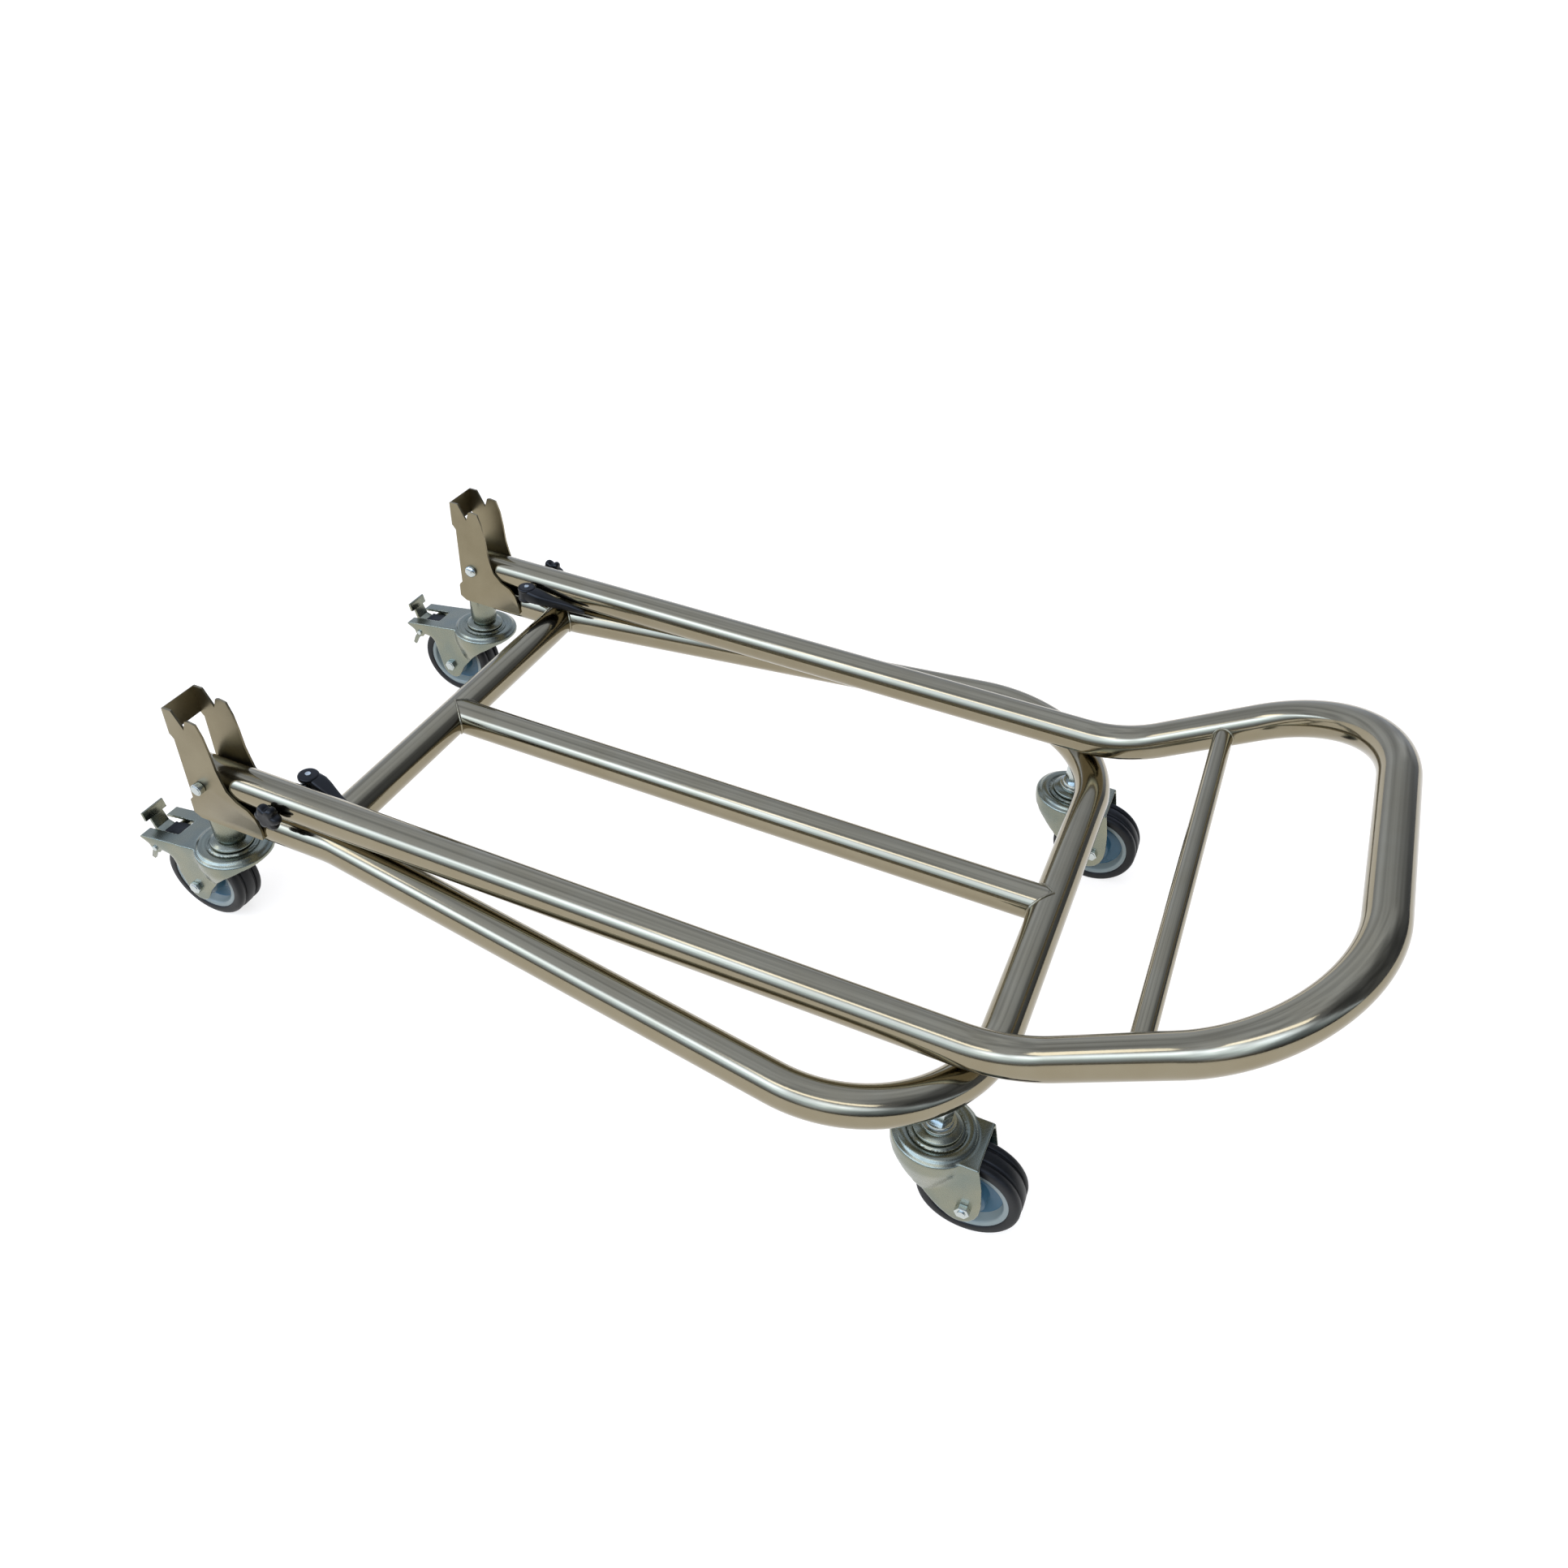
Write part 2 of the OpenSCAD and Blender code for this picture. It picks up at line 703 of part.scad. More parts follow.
// Side outline of the rear forks' legs: the flange under the brake arm has a lug round the brake pin
function rear_outline() =
    let (e = [trail, axle_z], a = [arm_reach, plate_z - arm_drop], p = [brake_pin_x, brake_pin_z])
    [
        [-36, plate_z], [-36, plate_z - 4], [-25, plate_z - 7.4], [-11.5, plate_z - 15.3],
        e + [-34.5, 23.5], e + [-24.5, 11.5], e + [-16, 1], e + [-11.5, -8], e + [-8, -13.6],
        e + [-3, -16.2], e + [2.5, -15.8], e + [7.5, -13], e + [11, -8], e + [13, -1], e + [16, 11],
        e + [20, 25.5], e + [24, 29.3], p + [-6.5, -0.5], p + [-4.2, -4.2], p + [0, -5.6],
        p + [4.2, -4.2], p + [6.8, 1.8], a + [-0.4, -1.6], a, [26, plate_z]
    ];

module legs(outline) {
    intersection() {
        union() {
            for (k = [0, 1])
                mirror([0, k, 0])
                    translate([-10, leg_in, 0])
                        cube([arm_reach + 12, fork_t, plate_z]);
            fork_skirt();
            fork_nose();
        }
        xz_plate(outline, -60, 60);
        // the flat legs begin where the skirt meets them
        union() {
            translate([0, -leg_out, 0])
                cube([arm_reach + 2, leg_w, plate_z]);
            cylinder(h = plate_z, r = ring_r);
        }
    }
}

module axle_hole() {
    translate([trail, 0, axle_z])
        along_y(-leg_w, leg_w, axle_d / 2 + cope);
}

module stem_space() {
    translate([0, 0, plate_bottom - 12])
        cylinder(h = dome_z - fork_t - plate_bottom + 12 - 0.01, r = 19.9);
}

module fork_front() {
    color(zinc)
        difference() {
            union() {
                fork_head();
                difference() {
                    translate([0, -leg_out, plate_bottom])
                        cube([38.4, leg_w, fork_t]);
                    translate([0, 0, plate_bottom - 1])
                        cylinder(h = 10, r = 26);
                }
                legs(front_outline());
            }
            axle_hole();
            stem_space();
        }
}

// The rear fork carries a sloping arm behind the wheel, slotted for the brake pedal
module fork_rear() {
    color(zinc)
        difference() {
            union() {
                fork_head();
                difference() {
                    xz_plate([[10, plate_z], [10, plate_bottom], [26, plate_bottom],
                        [arm_reach - 0.4, plate_bottom - arm_drop], [arm_reach, plate_z - arm_drop],
                        [26, plate_z]], -leg_out, leg_out);
                    translate([0, 0, plate_bottom - 1])
                        cylinder(h = 10, r = 26);
                }
                legs(rear_outline());
            }
            axle_hole();
            stem_space();
            // slot for the pedal, open at the arm's end
            translate([brake_pin_x - 19, -strip_w / 2 - 2.5, plate_bottom - arm_drop - 1])
                cube([50, strip_w + 5, 20]);
            translate([brake_pin_x, 0, brake_pin_z])
                along_y(-leg_w, leg_w, 2.5 + cope);
        }
}

// Axle bolt with a hexagonal head on the side of -head
module axle_bolt(head) {
    color(zinc)
        translate([trail, 0, axle_z])
            mirror([0, head > 0 ? 1 : 0, 0]) {
                along_y(-leg_w / 2 - 1, leg_w / 2 + axle_d, axle_d / 2);
                translate([0, -leg_w / 2, 0])
                    rotate([90, 0, 0]) {
                        hex(axle_d * 1.7, 3.6);
                        cylinder(h = 4.4, r = axle_d * 0.7);
                    }
            }
}

module axle_nut(head) {
    color(zinc)
        translate([trail, 0, axle_z])
            mirror([0, head > 0 ? 1 : 0, 0])
                translate([0, leg_w / 2, 0])
                    rotate([-90, 0, 0])
                        difference() {
                            hex(axle_d * 1.7, axle_d * 0.8);
                            translate([0, 0, -1])
                                cylinder(h = 20, r = axle_d / 2 + cope);
                        }
}

// Bush on the axle that spaces the legs and carries the rim
module bush() {
    color(zinc)
        translate([trail, 0, axle_z])
            difference() {
                along_y(-leg_in, leg_in, axle_d / 2 + 2);
                along_y(-leg_in - 1, leg_in + 1, axle_d / 2 + cope);
            }
}

// Stepped rim: an outer lip, a dished web and a hub, the same on both faces
module rim() {
    r = rim_d / 2;
    b = axle_d / 2 + 2 + fit;
    h = hub_w / 2;
    w = wheel_w / 2 - 1;
    side = [[b, h], [b + 3.6, h], [b + 4.2, h - 3], [b + 9, h - 5], [b + 9.8, 4.6],
        [r - 6, 4.6], [r - 4.4, w - 1.6], [r - 3.4, w], [r, w]];
    color(zinc)
        translate([trail, 0, axle_z])
            rotate([90, 0, 0])
                rotate_extrude()
                    polygon(concat(side, [for (i = [len(side) - 1 : -1 : 0]) [side[i][0], -side[i][1]]]));
}

// Tyre with three ribs and two grooves
module tyre() {
    r = wheel_r;
    w = wheel_w / 2;
    i = rim_d / 2;
    half = [[i, w - 1], [i + 1, w], [r - 3.2, w], [r - 1.6, w - 0.5], [r - 0.5, w - 1.8], [r - 0.2, w - 3.2],
        [r - 0.3, w * 0.46 + 1], [r - 1.6, w * 0.46], [r - 1.6, w * 0.46 - 1.6], [r, w * 0.46 - 2.6]];
    color(rubber)
        translate([trail, 0, axle_z])
            rotate([90, 0, 0])
                rotate_extrude()
                    polygon(concat(half, [for (k = [len(half) - 1 : -1 : 0]) [half[k][0], -half[k][1]]]));
}

// Brake pedal: a strip with a cross tab above the arm, and two tongues below it
module brake_pedal() {
    pin = [brake_pin_x, brake_pin_z];
    tip = [pedal_reach, plate_z + 7.4];
    tongue_y = leg_in - 4.5;
    color(zinc)
        difference() {
            union() {
                translate([pin[0], 0, pin[1]]) {
                    along_y(-strip_w / 2, strip_w / 2, 5);
                    along_y(-tongue_y - fork_t, tongue_y + fork_t, 3.9);
                }
                // strip
                xz_plate([pin + [1, 4.9], pin + [4.9, -1], pin + [12.5, 5], tip + [-2.2, -9.2],
                    tip + [-4.6, -8.4], pin + [9.6, 7.4]], -strip_w / 2, strip_w / 2);
                // cross tab
                xz_plate([tip + [-4.6, -8.4], tip + [-2.2, -9.2], tip + [0, -1], tip + [-0.8, 0],
                    tip + [-2.4, 0]], -tab_w / 2, tab_w / 2);
                // tongues
                for (k = [0, 1])
                    mirror([0, k, 0])
                        xz_plate([pin + [-2, -3.3], pin + [3.7, -1], pin + [10, -10], pin + [13.5, -18.5],
                            pin + [10.5, -20.5], pin + [6, -12]], tongue_y, tongue_y + fork_t);
            }
            translate([pin[0], 0, pin[1]])
                along_y(-leg_w, leg_w, 2.5 + fit);
        }
}

// Rubber block on the pedal's boss, next to the tyre, with a flap under the arm's slot
module brake_block() {
    color(rubber)
        translate([brake_pin_x, 0, brake_pin_z])
            difference() {
                union() {
                    along_y(-strip_w / 2, strip_w / 2, block_r);
                    xz_plate([[-2, block_r - 0.6], [-16.5, block_r + 2], [-16.5, block_r],
                        [-2, block_r - 2.8]], -strip_w / 2 - 1.2, strip_w / 2 + 1.2);
                }
                along_y(-strip_w, strip_w, 5 + cope);
                // opening for the pedal's strip
                translate([0.9, -strip_w, -20])
                    cube([20, 2 * strip_w, 40]);
            }
}

module brake_pin() {
    color(zinc)
        translate([brake_pin_x, 0, brake_pin_z])
            along_y(-leg_out - 0.8, leg_out + 0.8, 2.5);
}

module fork_front_right() { at_castor(true, -1) fork_front(); }
module axle_front_right() { at_castor(true, -1) axle_bolt(1); }
module axle_nut_front_right() { at_castor(true, -1) axle_nut(1); }
module bush_front_right() { at_castor(true, -1) bush(); }
module rim_front_right() { at_castor(true, -1) rim(); }
module tyre_front_right() { at_castor(true, -1) tyre(); }
module fork_front_left() { at_castor(true, 1) fork_front(); }
module axle_front_left() { at_castor(true, 1) axle_bolt(-1); }
module axle_nut_front_left() { at_castor(true, 1) axle_nut(-1); }
module bush_front_left() { at_castor(true, 1) bush(); }
module rim_front_left() { at_castor(true, 1) rim(); }
module tyre_front_left() { at_castor(true, 1) tyre(); }
module fork_rear_right() { at_castor(false, -1) fork_rear(); }
module axle_rear_right() { at_castor(false, -1) axle_bolt(1); }
module axle_nut_rear_right() { at_castor(false, -1) axle_nut(1); }
module bush_rear_right() { at_castor(false, -1) bush(); }
module rim_rear_right() { at_castor(false, -1) rim(); }
module tyre_rear_right() { at_castor(false, -1) tyre(); }
module fork_rear_left() { at_castor(false, 1) fork_rear(); }
module axle_rear_left() { at_castor(false, 1) axle_bolt(1); }
module axle_nut_rear_left() { at_castor(false, 1) axle_nut(1); }
module bush_rear_left() { at_castor(false, 1) bush(); }
module rim_rear_left() { at_castor(false, 1) rim(); }
module tyre_rear_left() { at_castor(false, 1) tyre(); }
module brake_pedal_right() { at_castor(false, -1) brake_pedal(); }
module brake_block_right() { at_castor(false, -1) brake_block(); }
module brake_pin_right() { at_castor(false, -1) brake_pin(); }
module brake_pedal_left() { at_castor(false, 1) brake_pedal(); }
module brake_block_left() { at_castor(false, 1) brake_block(); }
module brake_pin_left() { at_castor(false, 1) brake_pin(); }

base_tube();
rear_cross_tube();
centre_tube();
bracket_right();
bracket_left();
socket_right();
socket_left();
king_stems_front();
king_stems_rear();
king_nuts_front();
king_washers_front();
king_collars_rear();
swivel_caps();
pivot_bolts();
pivot_nuts();
handle_tube();
handle_crossbar();
clamp_bolt_right();
clamp_knob_right();
clamp_lever_right();
lever_pin_right();
clamp_bolt_left();
clamp_knob_left();
clamp_lever_left();
lever_pin_left();
fork_front_right();
axle_front_right();
axle_nut_front_right();
bush_front_right();
rim_front_right();
tyre_front_right();
fork_front_left();
axle_front_left();
axle_nut_front_left();
bush_front_left();
rim_front_left();
tyre_front_left();
fork_rear_right();
axle_rear_right();
axle_nut_rear_right();
bush_rear_right();
rim_rear_right();
tyre_rear_right();
fork_rear_left();
axle_rear_left();
axle_nut_rear_left();
bush_rear_left();
rim_rear_left();
tyre_rear_left();
brake_pedal_right();
brake_block_right();
brake_pin_right();
brake_pedal_left();
brake_block_left();
brake_pin_left();
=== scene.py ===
import json
import math

import bmesh
import bpy
from bpy.props import FloatProperty, FloatVectorProperty, IntProperty, PointerProperty
from mathutils import Matrix, Vector


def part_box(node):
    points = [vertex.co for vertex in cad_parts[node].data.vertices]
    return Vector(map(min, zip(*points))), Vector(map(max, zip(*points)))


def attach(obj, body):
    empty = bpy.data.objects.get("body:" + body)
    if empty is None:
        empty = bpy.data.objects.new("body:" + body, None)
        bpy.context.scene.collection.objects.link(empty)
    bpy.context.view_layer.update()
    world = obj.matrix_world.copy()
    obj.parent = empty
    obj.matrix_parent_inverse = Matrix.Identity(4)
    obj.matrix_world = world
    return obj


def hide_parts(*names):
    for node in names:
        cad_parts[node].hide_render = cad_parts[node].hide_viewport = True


bl_info = {
    "name": "Tyre trolley",
    "version": (1, 0, 0),
    "blender": (4, 5, 0),
    "location": "View3D > Sidebar > Trolley",
    "description": "Makes the looks of a folding tyre trolley round its packed solids",
    "category": "Object",
}

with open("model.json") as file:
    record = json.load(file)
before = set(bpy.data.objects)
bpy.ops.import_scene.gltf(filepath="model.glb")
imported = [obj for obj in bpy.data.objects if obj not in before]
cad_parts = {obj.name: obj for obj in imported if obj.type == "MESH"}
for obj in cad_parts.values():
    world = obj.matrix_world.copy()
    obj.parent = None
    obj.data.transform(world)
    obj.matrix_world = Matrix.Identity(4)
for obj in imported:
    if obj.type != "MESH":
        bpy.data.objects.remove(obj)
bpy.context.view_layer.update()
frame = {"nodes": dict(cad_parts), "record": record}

SIDES = (("right", -1), ("left", 1))
ENDS = (("front", 1), ("rear", -1))
X, Y, Z = Vector((1, 0, 0)), Vector((0, 1, 0)), Vector((0, 0, 1))


def middle(node, axis):
    """Middle of a solid's box along one axis, in metres."""
    low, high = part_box(node)
    return (low[axis] + high[axis]) / 2


PIVOT_X = middle("pivot_bolts", 0)
PIVOT_Z = middle("pivot_bolts", 2)
BASE_Z = middle("base_tube", 2)
SIDE_Y = middle("handle_crossbar", 1) + middle("socket_left", 1)


# Sizes and colours

def length(name, text, value):
    """A size in metres that a user would change."""
    return FloatProperty(name=name, description=text, default=value, min=0, unit="LENGTH", precision=4)


def colour(name, text, code):
    """A colour, given as an sRGB hex value."""
    return FloatVectorProperty(name=name, description=text, subtype="COLOR", size=3, min=0, max=1,
                               default=linear(code)[:3])


def linear(code):
    """An sRGB hex value as linear red, green, blue and alpha."""
    parts = [int(code[i:i + 2], 16) / 255 for i in (1, 3, 5)]
    return [c / 12.92 if c <= 0.04045 else ((c + 0.055) / 1.055) ** 2.4 for c in parts] + [1.0]


class TubeSizes(bpy.types.PropertyGroup):
    tube_d: length("Tube", "Outer diameter of the frame and handle tubes", 0.0317)
    wall: length("Wall", "Wall of the tubes", 0.0015)
    bar_d: length("Crossbar", "Outer diameter of the thin bar in the handle", 0.0168)
    base_length: length("Base length", "From the pivots to the front member", 0.6764)
    tail: length("Tail", "From the pivots to the base tube's open ends", 0.019)
    flare_start: length("Flare start", "From the pivots to where the sides flare", 0.1148)
    flare_width: length("Front width", "Width of the base tube at its front corners", 0.5588)
    flare_bend: length("Flare bend", "Radius of the bend where the sides flare", 0.120)
    corner_bend: length("Corner bend", "Radius of the base tube's front corners", 0.1178)
    rear_cross_x: length("Rear member", "From the pivots to the rear cross tube", 0.1002)
    crank_x: length("Crank", "From the pivots to where the handle cranks up", 0.6882)
    crank_bend: length("Crank bend", "Radius of the crank's bend", 0.1255)
    crank_length: length("Crank length", "Length of the cranked part to the end bar", 0.2392)
    handle_bend: length("Handle bend", "Radius of the handle's end corners", 0.1175)
    bar_at: length("Crossbar place", "From the crank to the crossbar along the handle", 0.094)
    handle_tail: length("Handle tail", "From the pivots to the handle's open ends", 0.012)
    crank_angle: FloatProperty(name="Crank angle", description="Rise of the handle's cranked part",
                               default=math.radians(31.6), subtype="ANGLE")
    bead: length("Weld bead", "Radius of the weld beads", 0.0013)


class CastorSizes(bpy.types.PropertyGroup):
    wheel_d: length("Wheel", "Outer diameter of the tyres", 0.081)
    wheel_w: length("Wheel width", "Width of the tyres", 0.028)
    rim_d: length("Rim", "Diameter of the rims", 0.0634)
    hub_w: length("Hub width", "Width of the hubs", 0.0402)
    edge: length("Eased edge", "Radius on the edges of the small fittings", 0.0005)
    grain: length("Fork mesh", "Spacing of the forks' mesh, which sets how softly they fold", 0.0008)
    fold_low: length("Fold foot", "Height where the forks' legs are flat again", 0.054)
    fold_high: length("Fold head", "Height under the forks' tops where the skirt begins", 0.0862)


class ClampSizes(bpy.types.PropertyGroup):
    knob_d: length("Knob", "Diameter of the lobed knobs", 0.0245)
    knob_t: length("Knob depth", "Depth of the lobed knobs", 0.010)
    lobes: IntProperty(name="Lobes", description="Number of lobes round a knob", default=6, min=3)
    cam_d: length("Cam", "Diameter of the lever's round head", 0.018)
    cam_h: length("Lever height", "Height of the lever's round head", 0.0155)
    lever_l: length("Lever", "Length of the lever from its pin", 0.062)


class Finishes(bpy.types.PropertyGroup):
    # the tan of the polished tube is partly painted reflection of a tan wooden floor, over the steel's own grey
    polished: colour("Polished tube", "Polished plated steel tube", "#918974")
    # the tan of the satin sheet is partly painted reflection of a tan room, over the sheet's own grey
    satin: colour("Satin sheet", "Satin plated bracket sheet", "#8B826A")
    # the tan of the zinc's base colour is partly painted reflection of a tan floor, over the plating's own bluish grey
    zinc: colour("Zinc", "Bright zinc plating", "#8D8D7B")
    # lighter than the zinc: the plating's own colour with painted highlight on the small turned parts
    bolts: colour("Bolts", "Zinc of the bolts, nuts and washers", "#C3C9C6")
    hub: colour("Wheel lip", "Lip of the moulded wheel centre", "#959B90")
    web: colour("Wheel web", "Dished web of the wheel centre", "#3D6574")
    plastic: colour("Plastic", "Moulded clamp plastic", "#0A0A0A")
    rubber: colour("Rubber", "Moulded tyre rubber", "#0C0C0B")
    floor: colour("Floor", "Studio floor", "#BEB3A4")


class StageSizes(bpy.types.PropertyGroup):
    floor: length("Floor", "Half width of the floor", 40.0)
    lens: FloatProperty(name="Lens", description="Focal length on a 36 mm frame", default=29.21)


# Materials

def add_node(tree, kind, settings=None, **links):
    """Adds a node with its settings, and its inputs as values or as sockets to link from."""
    node = tree.nodes.new(kind)
    for key, value in (settings or {}).items():
        setattr(node, key, value)
    for key, value in links.items():
        name = key.replace("_", " ")
        socket = node.inputs[int(key[1:])] if key[0] == "i" and key[1:].isdigit() else node.inputs[name]
        if isinstance(value, bpy.types.NodeSocket):
            tree.links.new(value, socket)
        else:
            socket.default_value = value
    return node


def ramp(tree, factor, stops):
    """A colour ramp over factor with (place, grey or colour) stops."""
    node = add_node(tree, "ShaderNodeValToRGB", i0=factor)
    band = node.color_ramp
    while len(band.elements) < len(stops):
        band.elements.new(0.5)
    for element, (place, value) in zip(band.elements, stops):
        element.position = place
        element.color = value if len(value) == 4 else (*value, 1)
    return node.outputs["Color"]


def grey(value):
    """A grey as red, green, blue and alpha."""
    return (value, value, value, 1)


def new_material(name):
    """An empty node material with its shader and output joined."""
    material = bpy.data.materials.new(name)
    material.use_nodes = True
    tree = material.node_tree
    tree.nodes.clear()
    shader = add_node(tree, "ShaderNodeBsdfPrincipled")
    out = add_node(tree, "ShaderNodeOutputMaterial")
    tree.links.new(shader.outputs[0], out.inputs["Surface"])
    place = add_node(tree, "ShaderNodeTexCoord").outputs["Object"]
    return material, tree, shader, place


def metal(name, base, rough, spread, per_mm, tint, tint_share, bump, stretch=(1, 1, 1)):
    """A plated metal: its tone wanders over centimetres and its roughness over the polishing marks.

    per_mm is how many marks lie in a millimetre, and spread how far the roughness goes each way."""
    material, tree, shader, place = new_material(name)
    fine = add_node(tree, "ShaderNodeMapping", Vector=place, Scale=[1000 * per_mm * s for s in stretch])
    marks = add_node(tree, "ShaderNodeTexNoise", Vector=fine.outputs[0], Scale=1.0, Detail=3.0)
    cloud = add_node(tree, "ShaderNodeTexNoise", Vector=place, Scale=28.0, Detail=4.0)
    blend = ramp(tree, cloud.outputs["Fac"], [(0.35, (*base, 1)), (0.75, (*tint, 1))])
    mixed = add_node(tree, "ShaderNodeMix", {"data_type": "RGBA"}, i0=tint_share, i6=(*base, 1), i7=blend)
    tree.links.new(mixed.outputs[2], shader.inputs["Base Color"])
    shader.inputs["Metallic"].default_value = 1.0
    spans = add_node(tree, "ShaderNodeMapRange", Value=marks.outputs["Fac"], From_Min=0.3, From_Max=0.7,
                     To_Min=rough - spread, To_Max=rough + spread)
    tree.links.new(spans.outputs[0], shader.inputs["Roughness"])
    raised = add_node(tree, "ShaderNodeBump", Height=marks.outputs["Fac"], Strength=bump, Distance=0.0002)
    tree.links.new(raised.outputs[0], shader.inputs["Normal"])
    return material


def moulded(name, base, rough, grain_mm, bump, dust=0.0, shine=0.5):
    """A moulded plastic or rubber with the fine grain of its mould and a little dust on it."""
    material, tree, shader, place = new_material(name)
    grain = add_node(tree, "ShaderNodeTexNoise", Vector=place, Scale=1000 / grain_mm, Detail=2.0)
    cloud = add_node(tree, "ShaderNodeTexNoise", Vector=place, Scale=60.0, Detail=5.0)
    pale = tuple(c * (1 - dust) + 0.22 * dust for c in base)
    shader.inputs["Specular IOR Level"].default_value = shine
    blend = ramp(tree, cloud.outputs["Fac"], [(0.4, (*base, 1)), (0.8, (*pale, 1))])
    tree.links.new(blend, shader.inputs["Base Color"])
    spans = add_node(tree, "ShaderNodeMapRange", Value=cloud.outputs["Fac"], From_Min=0.3, From_Max=0.7,
                     To_Min=rough - 0.06, To_Max=rough + 0.06)
    tree.links.new(spans.outputs[0], shader.inputs["Roughness"])
    raised = add_node(tree, "ShaderNodeBump", Height=grain.outputs["Fac"], Strength=bump, Distance=0.0003)
    tree.links.new(raised.outputs[0], shader.inputs["Normal"])
    return material


def make_materials():
    """The finishes of the trolley."""
    hues = bpy.context.scene.trolley_finishes
    # Polished plated steel: a near mirror with faint polishing haze; its tan tone is partly painted reflection of a tan
    # wooden floor, over the steel's own grey
    metal("polished_steel_painted_reflection", tuple(hues.polished), 0.12, 0.025, 0.9, linear("#857A61")[:3], 0.4, 0.015)
    # Satin plated sheet: rolled steel whose plating dulls it evenly; its tan tone is partly painted reflection of a tan
    # room, over the sheet's own grey
    metal("satin_sheet_painted_reflection", tuple(hues.satin), 0.33, 0.06, 2.0, linear("#7B7159")[:3], 0.7, 0.04)
    # Bright zinc: bluish passivated plating on pressed steel, cloudy over a few millimetres; the tan of its base colour
    # is partly painted reflection of a tan floor
    metal("bright_zinc_painted_reflection", tuple(hues.zinc), 0.27, 0.05, 1.2, linear("#727D78")[:3], 0.8, 0.012)
    # The same plating on turned and rolled steel, painted lighter: the zinc's own colour with painted highlight on the
    # bolts, nuts, pins and washers
    metal("bolt_zinc_painted_highlight", tuple(hues.bolts), 0.2, 0.04, 1.5, linear("#A9B2AF")[:3], 0.5, 0.012)
    # Weld bead: steel that cooled in ripples about 1.5 mm apart, in the tube's tan, which is partly painted reflection
    # of a tan floor
    metal("weld_bead", tuple(hues.polished), 0.3, 0.06, 0.7, linear("#979079")[:3], 0.4, 0.3)
    # Moulded nylon wheel centre: a pale lip round a blue dished web, with a smooth mould face
    moulded("wheel_lip", tuple(hues.hub), 0.36, 0.8, 0.05, 0.08)
    moulded("wheel_web", tuple(hues.web), 0.32, 0.8, 0.05, 0.06)
    # Glass-filled nylon of the clamps: fine spark-eroded grain
    moulded("clamp_plastic", tuple(hues.plastic), 0.33, 0.5, 0.12, 0.03, 0.3)
    # Natural rubber tyre with a little dust on it
    moulded("tyre_rubber", tuple(hues.rubber), 0.46, 0.7, 0.2, 0.04, 0.3)


# Shapes

class TubeRun:
    """A tube that is drawn out and bent as a tube bender does it."""

    def __init__(self, at, heading, radius, sides=72):
        self.bm = bmesh.new()
        self.at = Vector(at)
        self.heading = Vector(heading).normalized()
        self.radius = radius
        turn = Z.rotation_difference(self.heading).to_matrix().to_4x4()
        ring = bmesh.ops.create_circle(self.bm, segments=sides, radius=radius,
                                       matrix=Matrix.Translation(self.at) @ turn)["verts"]
        self.edges = list({edge for vert in ring for edge in vert.link_edges})
        self.start = (list(self.edges), self.at.copy(), -self.heading)

    def grow(self, edges):
        """Draws out a ring of edges, and returns the new ring and its vertices."""
        made = bmesh.ops.extrude_edge_only(self.bm, edges=edges)["geom"]
        verts = {item for item in made if isinstance(item, bmesh.types.BMVert)}
        ring = [edge for edge in self.bm.edges if edge.verts[0] in verts and edge.verts[1] in verts]
        return ring, list(verts)

    def straight(self, distance):
        """Draws the tube out along its heading."""
        self.edges, verts = self.grow(self.edges)
        bmesh.ops.translate(self.bm, verts=verts, vec=self.heading * distance)
        self.at += self.heading * distance
        return self

    def bend(self, radius, angle, normal, steps):
        """Turns by angle about normal, with the centre to the side that the tube turns to."""
        normal = Vector(normal).normalized()
        toward = normal.cross(self.heading) * (1 if angle > 0 else -1)
        centre = self.at + toward * radius
        turn = Matrix.Rotation(angle / steps, 3, normal)
        for _ in range(steps):
            self.edges, verts = self.grow(self.edges)
            bmesh.ops.rotate(self.bm, verts=verts, cent=centre, matrix=turn)
            self.at = centre + turn @ (self.at - centre)
            self.heading = turn @ self.heading
        return self

    def open_end(self, edges, at, heading, wall, depth):
        """Turns a ring of edges inward over the wall and back down the bore, with a plug far inside."""
        lip, verts = self.grow(edges)
        share = 1 - wall / self.radius
        bmesh.ops.scale(self.bm, verts=verts, vec=(share,) * 3, space=Matrix.Translation(-at))
        bore, verts = self.grow(lip)
        bmesh.ops.translate(self.bm, verts=verts, vec=-heading * depth)
        bmesh.ops.contextual_create(self.bm, geom=bore)

    def finish(self, wall):
        """Opens both ends and gives back the tube's mesh."""
        self.open_end(self.start[0], self.start[1], self.start[2], wall, 0.09)
        self.open_end(self.edges, self.at, self.heading, wall, 0.09)
        bmesh.ops.recalc_face_normals(self.bm, faces=self.bm.faces)
        return self.bm


def lathe(profile, steps=64, closed=False):
    """A turned shape about +Z from (radius, height) points."""
    bm = bmesh.new()
    verts = [bm.verts.new((r, 0, h)) for r, h in profile]
    pairs = list(zip(verts, verts[1:])) + ([(verts[-1], verts[0])] if closed else [])
    edges = [bm.edges.new(pair) for pair in pairs]
    bmesh.ops.spin(bm, geom=verts + edges, cent=(0, 0, 0), axis=(0, 0, 1), angle=2 * math.pi, steps=steps,
                   use_merge=True)
    bmesh.ops.remove_doubles(bm, verts=bm.verts, dist=1e-6)
    bmesh.ops.recalc_face_normals(bm, faces=bm.faces)
    return bm


